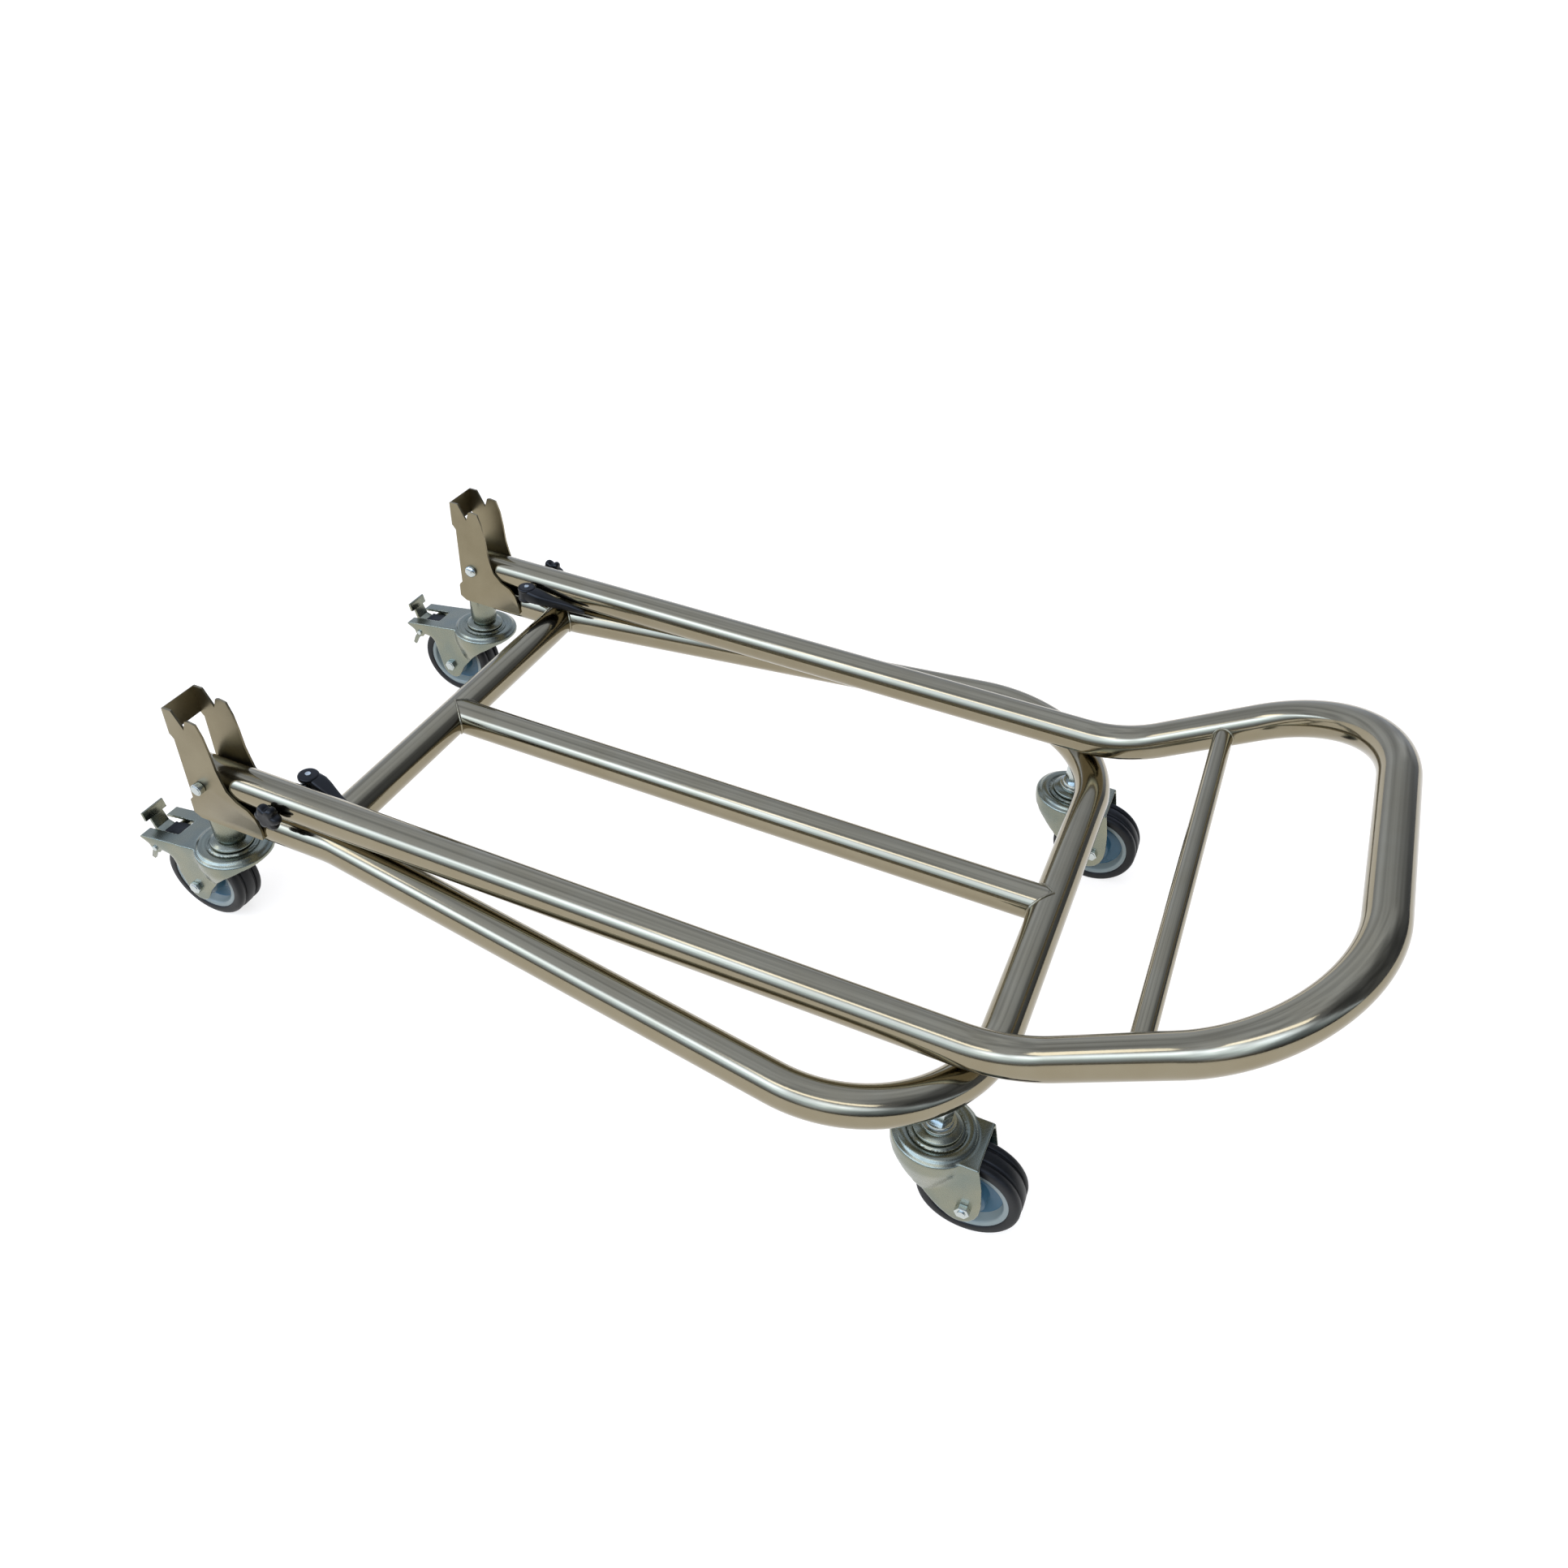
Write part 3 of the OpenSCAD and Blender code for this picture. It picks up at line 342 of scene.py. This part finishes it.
def slab(outline, low, high):
    """A plate with its outline in the XY plane, from low to high along Z."""
    bm = bmesh.new()
    face = bm.faces.new([bm.verts.new((x, y, low)) for x, y in outline])
    made = bmesh.ops.extrude_face_region(bm, geom=[face])["geom"]
    bmesh.ops.translate(bm, verts=[item for item in made if isinstance(item, bmesh.types.BMVert)],
                        vec=(0, 0, high - low))
    bmesh.ops.recalc_face_normals(bm, faces=bm.faces)
    return bm


def round_edges(bm, radius, segments=2, angle=32, chosen=None):
    """Bevels the edges that are sharper than angle, or the chosen ones."""
    edges = chosen if chosen is not None else [
        edge for edge in bm.edges if edge.is_manifold and edge.calc_face_angle(0) > math.radians(angle)]
    bmesh.ops.bevel(bm, geom=edges, offset=radius, offset_type="OFFSET", segments=segments, profile=0.5,
                    affect="EDGES", clamp_overlap=True, material=-1)


def copy_of(node, flatten=True):
    """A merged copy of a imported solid's mesh."""
    bm = bmesh.new()
    bm.from_mesh(frame["nodes"][node].data)
    bmesh.ops.remove_doubles(bm, verts=bm.verts, dist=2e-6)
    if flatten:
        bmesh.ops.dissolve_limit(bm, angle_limit=math.radians(0.5), verts=bm.verts, edges=bm.edges,
                                 delimit={"NORMAL"})
    return bm


def put(bm, matrix):
    """Places a mesh, and turns its faces round again after a mirror."""
    bmesh.ops.transform(bm, matrix=matrix, verts=bm.verts)
    if matrix.determinant() < 0:
        bmesh.ops.reverse_faces(bm, faces=bm.faces)
    return bm


def joined(parts):
    """One bmesh out of several."""
    whole = bmesh.new()
    for bm in parts:
        carrier = bpy.data.meshes.new("carrier")
        bm.to_mesh(carrier)
        bm.free()
        whole.from_mesh(carrier)
        bpy.data.meshes.remove(carrier)
    return whole


def piece(name, bm, materials, body, nodes=(), smooth=40):
    """Finishes a piece: its object, shading, finish and the body it rides on."""
    for face in bm.faces:
        face.smooth = True
    for edge in bm.edges:
        edge.smooth = not edge.is_manifold or edge.calc_face_angle(0) < math.radians(smooth)
    mesh = bpy.data.meshes.new(name)
    bm.to_mesh(mesh)
    bm.free()
    thing = bpy.data.objects.new(name, mesh)
    bpy.context.scene.collection.objects.link(thing)
    for material in materials.split():
        mesh.materials.append(bpy.data.materials[material])
    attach(thing, body)
    if nodes:
        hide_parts(*nodes)
    return thing


def saddle_bead(radius, bead, depth):
    """A weld bead round a tube end along +Z, where it meets a crossing tube at the given depth for each angle."""
    bm = lathe([(radius + bead * math.cos(a), bead * math.sin(a))
                for a in [math.radians(30 * i) for i in range(12)]], steps=96, closed=True)
    for vert in bm.verts:
        across = math.atan2(vert.co.y, vert.co.x)
        vert.co.z += depth(across)
        swell = 1 + 0.1 * math.sin(across * 31)
        out = Vector((vert.co.x, vert.co.y, 0))
        vert.co += out.normalized() * (out.length - radius) * (swell - 1)
    bmesh.ops.recalc_face_normals(bm, faces=bm.faces)
    return bm


def through(bm, *steps):
    """The mesh after a few modifiers, each given as its kind and its settings."""
    carrier = bpy.data.meshes.new("carrier")
    bm.to_mesh(carrier)
    bm.free()
    thing = bpy.data.objects.new("carrier", carrier)
    thing.vertex_groups.new(name="folds")
    bpy.context.scene.collection.objects.link(thing)
    for kind, settings in steps:
        step = thing.modifiers.new(kind.lower(), kind)
        for key, value in settings.items():
            setattr(step, key, value)
    made = bmesh.new()
    made.from_object(thing, bpy.context.evaluated_depsgraph_get())
    bpy.data.objects.remove(thing)
    bpy.data.meshes.remove(carrier)
    return made


def pressed(bm, grain, low, high):
    """Gives a fork the soft folds of pressed sheet: a fine even mesh, smoothed all over a little
    and much more on its side walls between two heights, where the skirt runs out into the legs."""
    all_over, on_folds = 8, 110
    made = through(bm, ("REMESH", {"mode": "VOXEL", "voxel_size": grain}),
                   ("SMOOTH", {"factor": 0.5, "iterations": all_over}))
    made.normal_update()
    weights = made.verts.layers.deform.verify()
    for vert in made.verts:
        sideways = (abs(vert.normal.y) - 0.4) / 0.3
        inside = min((vert.co.z - low) / 0.004, (high - vert.co.z) / 0.003)
        vert[weights][0] = max(0.0, min(1.0, sideways, inside))
    return through(made, ("SMOOTH", {"factor": 0.5, "iterations": on_folds, "vertex_group": "folds"}))


# Operators

class TROLLEY_OT_frame_tubes(bpy.types.Operator):
    """Bent base tube with its rear cross tube and centre tube"""
    bl_idname = "trolley.frame_tubes"
    bl_label = "Frame tubes"

    def execute(self, context):
        sizes = context.scene.trolley_tubes
        r = sizes.tube_d / 2
        slope = math.atan((sizes.flare_width / 2 - SIDE_Y) / (sizes.base_length - sizes.flare_start))
        ease = sizes.flare_bend * math.tan(slope / 2)
        reach = sizes.corner_bend * math.tan((math.pi / 2 + slope) / 2)
        run = (sizes.base_length - sizes.flare_start) / math.cos(slope) - ease - reach
        across = 2 * (sizes.flare_width / 2 - reach)
        # one run from the left open end round the front to the right one; a flare takes 6 steps and a corner 36
        tube = TubeRun((PIVOT_X + sizes.tail, SIDE_Y, BASE_Z), X, r)
        tube.straight(sizes.flare_start - ease - sizes.tail).bend(sizes.flare_bend, slope, Z, 6)
        tube.straight(run).bend(sizes.corner_bend, -(math.pi / 2 + slope), Z, 36)
        tube.straight(across).bend(sizes.corner_bend, -(math.pi / 2 + slope), Z, 36)
        tube.straight(run).bend(sizes.flare_bend, slope, Z, 6)
        tube.straight(sizes.flare_start - ease - sizes.tail)
        piece("base_frame_tube", tube.finish(sizes.wall), "polished_steel_painted_reflection", "frame", ["base_tube"])
        rear = PIVOT_X + sizes.rear_cross_x
        # the cross and centre tubes stop short of the middle of the tubes that they meet
        short = 0.004
        cross = TubeRun((rear, -SIDE_Y + short, BASE_Z), Y, r).straight(2 * (SIDE_Y - short))
        piece("rear_member", cross.bm, "polished_steel_painted_reflection", "frame", ["rear_cross_tube"])
        spine = TubeRun((rear + short, 0, BASE_Z), X, r)
        spine.straight(sizes.base_length - sizes.rear_cross_x - 2 * short)
        piece("centre_member", spine.bm, "polished_steel_painted_reflection", "frame", ["centre_tube"])

        def saddle(angle, big=r, small=r):
            return -math.sqrt(max(big * big - (small * math.sin(angle)) ** 2, 0))
        beads = []
        for s in (-1, 1):
            turn = Matrix.Rotation(-s * math.pi / 2, 4, "X")
            bead = saddle_bead(r, sizes.bead, saddle)
            # the saddle's angle is measured from +X, which lies along the crossing tube
            beads.append(put(bead, Matrix.Translation((rear, s * SIDE_Y, BASE_Z)) @ turn))
            turn = Matrix.Rotation(s * math.pi / 2, 4, "Y")
            bead = saddle_bead(r, sizes.bead, lambda a: saddle(a + math.pi / 2))
            end = rear if s < 0 else PIVOT_X + sizes.base_length
            beads.append(put(bead, Matrix.Translation((end, 0, BASE_Z)) @ turn))
        piece("frame_welds", joined(beads), "weld_bead", "frame", smooth=80)
        return {"FINISHED"}


class TROLLEY_OT_handle(bpy.types.Operator):
    """Cranked tubular handle with its thin crossbar"""
    bl_idname = "trolley.handle"
    bl_label = "Handle"

    def execute(self, context):
        sizes = context.scene.trolley_tubes
        r = sizes.tube_d / 2
        rise = sizes.crank_angle
        ease = sizes.crank_bend * math.tan(rise / 2)
        along = Vector((math.cos(rise), 0, math.sin(rise)))
        up = Vector((-math.sin(rise), 0, math.cos(rise)))
        arm = sizes.crank_length - ease - sizes.handle_bend
        tube = TubeRun((PIVOT_X - sizes.handle_tail, SIDE_Y, PIVOT_Z), X, r)
        tube.straight(sizes.crank_x - ease + sizes.handle_tail).bend(sizes.crank_bend, rise, -Y, 16)
        tube.straight(arm).bend(sizes.handle_bend, -math.pi / 2, up, 36)
        tube.straight(2 * (SIDE_Y - sizes.handle_bend)).bend(sizes.handle_bend, -math.pi / 2, up, 36)
        tube.straight(arm).bend(sizes.crank_bend, -rise, -Y, 16)
        tube.straight(sizes.crank_x - ease + sizes.handle_tail)
        piece("handle_loop", tube.finish(sizes.wall), "polished_steel_painted_reflection", "handle", ["handle_tube"])
        corner = Vector((PIVOT_X + sizes.crank_x, 0, PIVOT_Z))
        at = corner + along * sizes.bar_at
        reach = SIDE_Y - 0.006
        bar = TubeRun(at - Y * reach, Y, sizes.bar_d / 2, 48).straight(2 * reach)
        piece("handle_bar", bar.bm, "polished_steel_painted_reflection", "handle", ["handle_crossbar"])
        lie = Matrix((along, Y, up)).transposed().to_4x4()
        small = sizes.bar_d / 2
        beads = []
        for s in (-1, 1):
            bead = saddle_bead(small, sizes.bead * 0.8,
                               lambda a: -math.sqrt(r * r - (small * math.sin(a)) ** 2))
            turn = Matrix.Rotation(-s * math.pi / 2, 4, "X")
            beads.append(put(bead, Matrix.Translation(at + Y * s * SIDE_Y) @ lie @ turn))
        piece("handle_welds", joined(beads), "weld_bead", "handle", smooth=80)
        return {"FINISHED"}


class TROLLEY_OT_brackets(bpy.types.Operator):
    """Folded sheet brackets that carry the pivots"""
    bl_idname = "trolley.brackets"
    bl_label = "Brackets"

    def execute(self, context):
        for side, s in SIDES:
            node = "bracket_" + side
            low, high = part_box(node)
            bm = copy_of(node)
            folds = []
            for edge in bm.edges:
                a, b = edge.verts[0].co, edge.verts[1].co
                on_fold = all(abs(p.x - low[0]) < 1e-4 and min(abs(p.y - low[1]), abs(p.y - high[1])) < 1e-4
                              for p in (a, b))
                if on_fold and edge.is_manifold and edge.calc_face_angle(0) > 1:
                    folds.append(edge)
            round_edges(bm, 0.0024, 4, chosen=folds)
            round_edges(bm, 0.0004, 2, 40)
            piece("sheet_bracket_" + side, bm, "satin_sheet_painted_reflection", "frame", [node], 35)
        return {"FINISHED"}


class TROLLEY_OT_fittings(bpy.types.Operator):
    """Pressed forks, stems, bolts, nuts and brake parts with their edges eased"""
    bl_idname = "trolley.fittings"
    bl_label = "Fittings"

    def execute(self, context):
        sizes = context.scene.trolley_castors
        body_of = {node: body for body, nodes in frame["record"]["behaviour"]["bodies"].items() for node in nodes}
        for node, body in body_of.items():
            plain = node.startswith(("socket", "king", "swivel", "pivot", "clamp_bolt", "lever_pin", "fork", "axle",
                                     "bush", "brake_p", "brake_b"))
            if not plain:
                continue
            rubber = node.startswith("brake_block")
            fork = node.startswith("fork")
            bm = copy_of(node, not fork)
            if fork:
                bm = pressed(bm, sizes.grain, sizes.fold_low, sizes.fold_high)
            else:
                round_edges(bm, sizes.edge * 0.7, 2, 40)
            # pressed parts take the zinc whose tan is partly painted floor reflection
            pressed_steel = node.startswith(("fork", "brake_pedal", "swivel", "socket", "king_collars"))
            # bolts, nuts, pins and washers take the lighter zinc, which is partly painted highlight
            finish = "tyre_rubber" if rubber else "bright_zinc_painted_reflection" if pressed_steel else "bolt_zinc_painted_highlight"
            piece("eased_" + node, bm, finish, body, [node],
                  180 if fork else 38)
        return {"FINISHED"}


class TROLLEY_OT_wheels(bpy.types.Operator):
    """Ribbed rubber tyres on stepped wheel centres"""
    bl_idname = "trolley.wheels"
    bl_label = "Wheels"

    def execute(self, context):
        sizes = context.scene.trolley_castors
        r, w, i = sizes.wheel_d / 2, sizes.wheel_w / 2, sizes.rim_d / 2
        groove = w * 0.46
        half = [(i, w - 0.0010), (i + 0.0006, w - 0.0003), (i + 0.0014, w), (r - 0.0036, w), (r - 0.0024, w - 0.0003),
                (r - 0.0014, w - 0.0009), (r - 0.0007, w - 0.0018), (r - 0.0003, w - 0.0030),
                (r - 0.0003, groove + 0.0016),
                (r - 0.0007, groove + 0.0012), (r - 0.0021, groove + 0.0009), (r - 0.0024, groove),
                (r - 0.0021, groove - 0.0012), (r - 0.0006, groove - 0.0018), (r, groove - 0.0027)]
        tread = half + [(a, -b) for a, b in reversed(half)]
        b, h, lip = 0.0051, sizes.hub_w / 2, w - 0.0010
        half = [(b, h), (b + 0.0034, h), (b + 0.0040, h - 0.0006), (b + 0.0044, h - 0.0026), (b + 0.0050, h - 0.0032),
                (b + 0.0088, h - 0.0048), (b + 0.0094, h - 0.0056), (b + 0.0098, 0.0052), (b + 0.0104, 0.0046),
                (i - 0.0066, 0.0046), (i - 0.0060, 0.0050), (i - 0.0046, lip - 0.0020), (i - 0.0040, lip - 0.0006),
                (i - 0.0034, lip), (i - 0.0001, lip)]
        centre = half + [(p, -q) for p, q in reversed(half)]
        for end, _ in ENDS:
            for side, _ in SIDES:
                name = end + "_" + side
                at = [middle("tyre_" + name, k) for k in range(3)]
                lie = Matrix.Translation(at) @ Matrix.Rotation(math.pi / 2, 4, "X")
                piece("ribbed_tyre_" + name, put(lathe(tread, 96, True), lie), "tyre_rubber", "wheel_" + name,
                      ["tyre_" + name], 50)
                disc = lathe(centre, 72, True)
                for face in disc.faces:
                    face.material_index = int(face.calc_center_median().xy.length < i - 0.0056)
                piece("wheel_centre_" + name, put(disc, lie), "wheel_lip wheel_web", "wheel_" + name,
                      ["rim_" + name], 50)
        return {"FINISHED"}


class TROLLEY_OT_clamps(bpy.types.Operator):
    """Lobed knobs and cam levers of the quick-release clamps"""
    bl_idname = "trolley.clamps"
    bl_label = "Clamps"

    def execute(self, context):
        sizes = context.scene.trolley_clamps
        for side, s in SIDES:
            self.knob(sizes, side, s)
            self.lever(sizes, side, s)
        return {"FINISHED"}

    def knob(self, sizes, side, s):
        r, t, deepest = sizes.knob_d / 2, sizes.knob_t, 0.0036
        profile = [(0, 0.0006), (r - 0.0055, 0), (r - 0.0022, 0.0005), (r - 0.0007, 0.0018), (r, 0.0038),
                   (r, t - 0.0042), (r - 0.0008, t - 0.0022), (r - 0.0024, t - 0.0009), (r - 0.0055, t - 0.0002),
                   (r - 0.0075, t - 0.0006), (0, t)]
        bm = lathe(profile, 120)
        for vert in bm.verts:
            out = math.hypot(vert.co.x, vert.co.y)
            wave = math.cos(math.atan2(vert.co.y, vert.co.x) * sizes.lobes)
            share = max(0.0, (out / r - 0.45) / 0.55)
            dent = deepest * share * (0.5 - 0.5 * wave) ** 1.4
            if out > 1e-5:
                vert.co.x *= 1 - dent / out
                vert.co.y *= 1 - dent / out
        low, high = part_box("clamp_knob_" + side)
        base = low[1] if s > 0 else high[1]
        at = (middle("clamp_knob_" + side, 0), base, middle("clamp_knob_" + side, 2))
        put(bm, Matrix.Translation(at) @ Matrix.Rotation(-s * math.pi / 2, 4, "X"))
        piece("lobed_knob_" + side, bm, "clamp_plastic", "knob_" + side, ["clamp_knob_" + side], 60)

    def lever(self, sizes, side, s):
        w, l, h = sizes.cam_d / 2, sizes.lever_l, sizes.cam_h / 2
        # outer and inner edge, top and underside of the arm at shares of its length
        places = (0.0, 0.1, 0.2, 0.3, 0.4, 0.5, 0.6, 0.7, 0.8, 0.9, 0.96, 0.99, 1.0)
        outer = (0.0006, 0.0006, 0.0009, 0.0030, 0.0058, 0.0085, 0.0108, 0.0128, 0.0142, 0.0150, 0.0159, 0.0170, 0.0178)
        inner = (-0.0040, -0.0026, -0.0013, -0.0006, -0.0002, 0.0002, 0.0008, 0.0012, 0.0014, 0.0015, 0.0012, 0.0006,
                 0.0)
        above = (0.96, 0.96, 0.78, 0.47, 0.20, -0.05, -0.27, -0.46, -0.65, -0.85, -0.98, -1.10, -1.22)
        below = (-0.96, -0.98, -1.01, -1.09, -1.19, -1.30, -1.41, -1.51, -1.58, -1.63, -1.64, -1.58, -1.42)
        arm = bmesh.new()
        rings = []
        for place, out, near, top, foot in zip(places, outer, inner, above, below):
            mid, half = (out + near) / 2, (2 * w + near - out) / 2
            ring = []
            for k in range(20):
                turn = 2 * math.pi * k / 20
                c, d = math.cos(turn), math.sin(turn)
                ring.append(arm.verts.new((
                    place * l, mid + half * math.copysign(abs(c) ** 0.6, c),
                    h * ((top + foot) / 2 + (top - foot) / 2 * math.copysign(abs(d) ** 0.6, d)))))
            rings.append(ring)
        for low, high in zip(rings, rings[1:]):
            for k in range(20):
                arm.faces.new((low[k], low[k - 1], high[k - 1], high[k]))
        arm.faces.new(rings[0])
        arm.faces.new(rings[-1])
        bmesh.ops.recalc_face_normals(arm, faces=arm.faces)
        # round head: two cheeks, and a core behind the slot for the bolt's eye
        slot = h * 0.49
        profile = [(0, slot), (w - 0.0004, slot), (w, slot + 0.0006), (w, h - 0.0014), (w - 0.0004, h - 0.0006),
                   (w - 0.0012, h - 0.0001), (w - 0.0022, h), (0, h)]
        cheeks = [put(lathe(profile, 56), Matrix.Scale(k, 4, Z)) for k in (-1, 1)]
        edge = w - 0.0004
        arc = [(edge * math.cos(a), edge * math.sin(a)) for a in [math.radians(k) for k in range(52, -139, -10)]]
        core = slab(arc + [(w * 0.38, -w * 0.72), (w * 0.6, -w * 0.33)], -slot - 0.0002, slot + 0.0002)
        at = [middle("lever_pin_" + side, k) for k in range(3)]
        flip = Matrix.Scale(-1, 4, Y) if s < 0 else Matrix.Identity(4)
        bm = put(joined([arm, core] + cheeks), Matrix.Translation(at) @ flip)
        piece("cam_lever_" + side, bm, "clamp_plastic", "lever_" + side, ["clamp_lever_" + side], 50)


class TROLLEY_OT_stage(bpy.types.Operator):
    """Pale floor, soft studio light and the camera at the photograph's place"""
    bl_idname = "trolley.stage"
    bl_label = "Stage"

    def execute(self, context):
        scene = context.scene
        scene.view_settings.view_transform = "Standard"
        self.floor(scene)
        self.light(scene)
        self.camera(scene)
        return {"FINISHED"}

    def floor(self, scene):
        bm = bmesh.new()
        bmesh.ops.create_grid(bm, x_segments=1, y_segments=1, size=scene.trolley_stage.floor)
        mesh = bpy.data.meshes.new("studio_floor")
        bm.to_mesh(mesh)
        bm.free()
        ground = bpy.data.objects.new("studio_floor", mesh)
        scene.collection.objects.link(ground)
        material = bpy.data.materials.new("studio_floor")
        material.use_nodes = True
        tree = material.node_tree
        tree.nodes.clear()
        hue = (*scene.trolley_finishes.floor, 1)
        path = add_node(tree, "ShaderNodeLightPath")
        seen = add_node(tree, "ShaderNodeMath", {"operation": "MAXIMUM"}, i0=path.outputs["Is Camera Ray"],
                        i1=path.outputs["Is Glossy Ray"])
        seen = add_node(tree, "ShaderNodeMath", {"operation": "MAXIMUM"}, i0=seen.outputs[0],
                        i1=path.outputs["Is Transmission Ray"])
        glow = add_node(tree, "ShaderNodeMath", {"operation": "MULTIPLY"}, i0=seen.outputs[0], i1=0.75)
        plain = add_node(tree, "ShaderNodeBsdfDiffuse", Color=hue)
        shine = add_node(tree, "ShaderNodeEmission", Color=(1, 1, 1, 1), Strength=glow.outputs[0])
        both = add_node(tree, "ShaderNodeAddShader", i0=plain.outputs[0], i1=shine.outputs[0])
        add_node(tree, "ShaderNodeOutputMaterial", Surface=both.outputs[0])
        mesh.materials.append(material)

    def light(self, scene):
        world = bpy.data.worlds.new("studio")
        scene.world = world
        world.use_nodes = True
        tree = world.node_tree
        tree.nodes.clear()
        place = add_node(tree, "ShaderNodeTexCoord").outputs["Generated"]
        axes = add_node(tree, "ShaderNodeSeparateXYZ", Vector=place).outputs
        # angle from the near side's horizon over the top to the far side's, as a share of half a turn
        back = add_node(tree, "ShaderNodeMath", {"operation": "MULTIPLY"}, i0=axes["Y"], i1=-1.0)
        angle = add_node(tree, "ShaderNodeMath", {"operation": "ARCTAN2"}, i0=axes["Z"], i1=back.outputs[0])
        share = add_node(tree, "ShaderNodeMath", {"operation": "DIVIDE"}, i0=angle.outputs[0], i1=math.pi)
        # grey hall with a long row of ceiling lights above the near side
        hall = ramp(tree, share.outputs[0], [
            (0.0, grey(0.03)), (0.03, grey(0.04)), (0.07, (0.096, 0.118, 0.162, 1)),
            (0.12, (0.19, 0.245, 0.335, 1)), (0.17, (0.31, 0.40, 0.55, 1)), (0.205, (0.47, 0.59, 0.83, 1)),
            (0.235, (0.58, 0.71, 1.0, 1)), (0.265, (0.42, 0.52, 0.72, 1)), (0.30, (0.137, 0.155, 0.206, 1)),
            (0.37, (0.104, 0.119, 0.155, 1)), (1.0, (0.104, 0.119, 0.155, 1))])
        # a darker wall to the right
        dim = add_node(tree, "ShaderNodeMapRange", Value=axes["X"], From_Min=0.1, From_Max=0.62, To_Min=1.0, To_Max=0.2)
        sky = add_node(tree, "ShaderNodeMix", {"data_type": "RGBA", "blend_type": "MULTIPLY"}, i0=1.0, i6=hall,
                       i7=dim.outputs[0]).outputs[2]
        # the hall is uneven: doors, shelves and gaps between the lights
        lumps = add_node(tree, "ShaderNodeTexNoise", Vector=place, Scale=3.4, Detail=2.5, Roughness=0.5)
        patchy = add_node(tree, "ShaderNodeMapRange", Value=lumps.outputs["Fac"], From_Min=0.36, From_Max=0.64,
                          To_Min=0.68, To_Max=1.28)
        sky = add_node(tree, "ShaderNodeMix", {"data_type": "RGBA", "blend_type": "MULTIPLY"}, i0=1.0, i6=sky,
                       i7=patchy.outputs[0]).outputs[2]
        glow = add_node(tree, "ShaderNodeBackground", Color=sky, Strength=6.4)
        add_node(tree, "ShaderNodeOutputWorld", Surface=glow.outputs[0])
        for name, at, size, power in (("ceiling_lamp", (0.2, -2.0, 3.2), (3.0, 0.5), 14.0),
                                      ("window_lamp", (-2.6, -1.2, 2.2), (0.8, 0.8), 6.0)):
            lamp = bpy.data.lights.new(name, "AREA")
            lamp.shape = "RECTANGLE"
            lamp.size, lamp.size_y = size
            lamp.energy = power
            thing = bpy.data.objects.new(name, lamp)
            thing.location = at
            thing.rotation_euler = (Vector((0, 0, 0.15)) - Vector(at)).to_track_quat("-Z", "Y").to_euler()
            scene.collection.objects.link(thing)

    def camera(self, scene):
        lens = bpy.data.cameras.new("camera")
        lens.lens = scene.trolley_stage.lens
        lens.sensor_width = 36.0
        lens.clip_end = 200.0
        yaw, pitch, roll = 0.363, -0.697, 0.068
        ahead = Vector((-math.sin(yaw), math.cos(yaw), 0))
        right = Vector((math.cos(yaw), math.sin(yaw), 0))
        look = ahead * math.cos(pitch) + Z * math.sin(pitch)
        up = -ahead * math.sin(pitch) + Z * math.cos(pitch)
        right, up = right * math.cos(roll) + up * math.sin(roll), up * math.cos(roll) - right * math.sin(roll)
        eye = bpy.data.objects.new("camera", lens)
        turn = Matrix((right, up, -look)).transposed().to_4x4()
        ahead_of_stems, to_the_right, height = 0.7353, 0.7795, 0.8740
        stem = middle("socket_left", 0)
        eye.matrix_world = Matrix.Translation((stem + ahead_of_stems, -to_the_right, height)) @ turn
        scene.collection.objects.link(eye)
        scene.camera = eye


class TROLLEY_PT_sidebar(bpy.types.Panel):
    bl_idname = "TROLLEY_PT_sidebar"
    bl_label = "Tyre trolley"
    bl_space_type = "VIEW_3D"
    bl_region_type = "UI"
    bl_category = "Trolley"

    def draw(self, context):
        for kind in OPERATORS:
            self.layout.operator(kind.bl_idname)


OPERATORS = (TROLLEY_OT_frame_tubes, TROLLEY_OT_handle, TROLLEY_OT_brackets, TROLLEY_OT_fittings,
             TROLLEY_OT_wheels, TROLLEY_OT_clamps, TROLLEY_OT_stage)
GROUPS = (("trolley_tubes", TubeSizes), ("trolley_castors", CastorSizes), ("trolley_clamps", ClampSizes),
          ("trolley_finishes", Finishes), ("trolley_stage", StageSizes))


def register():
    for name, group in GROUPS:
        bpy.utils.register_class(group)
        setattr(bpy.types.Scene, name, PointerProperty(type=group))
    for kind in OPERATORS + (TROLLEY_PT_sidebar,):
        bpy.utils.register_class(kind)


def unregister():
    for kind in reversed(OPERATORS + (TROLLEY_PT_sidebar,)):
        bpy.utils.unregister_class(kind)
    for name, group in reversed(GROUPS):
        delattr(bpy.types.Scene, name)
        bpy.utils.unregister_class(group)


def main():
    register()
    make_materials()
    bpy.ops.trolley.frame_tubes()
    bpy.ops.trolley.handle()
    bpy.ops.trolley.brackets()
    bpy.ops.trolley.fittings()
    bpy.ops.trolley.wheels()
    bpy.ops.trolley.clamps()
    bpy.ops.trolley.stage()


if __name__ == "__main__":
    main()
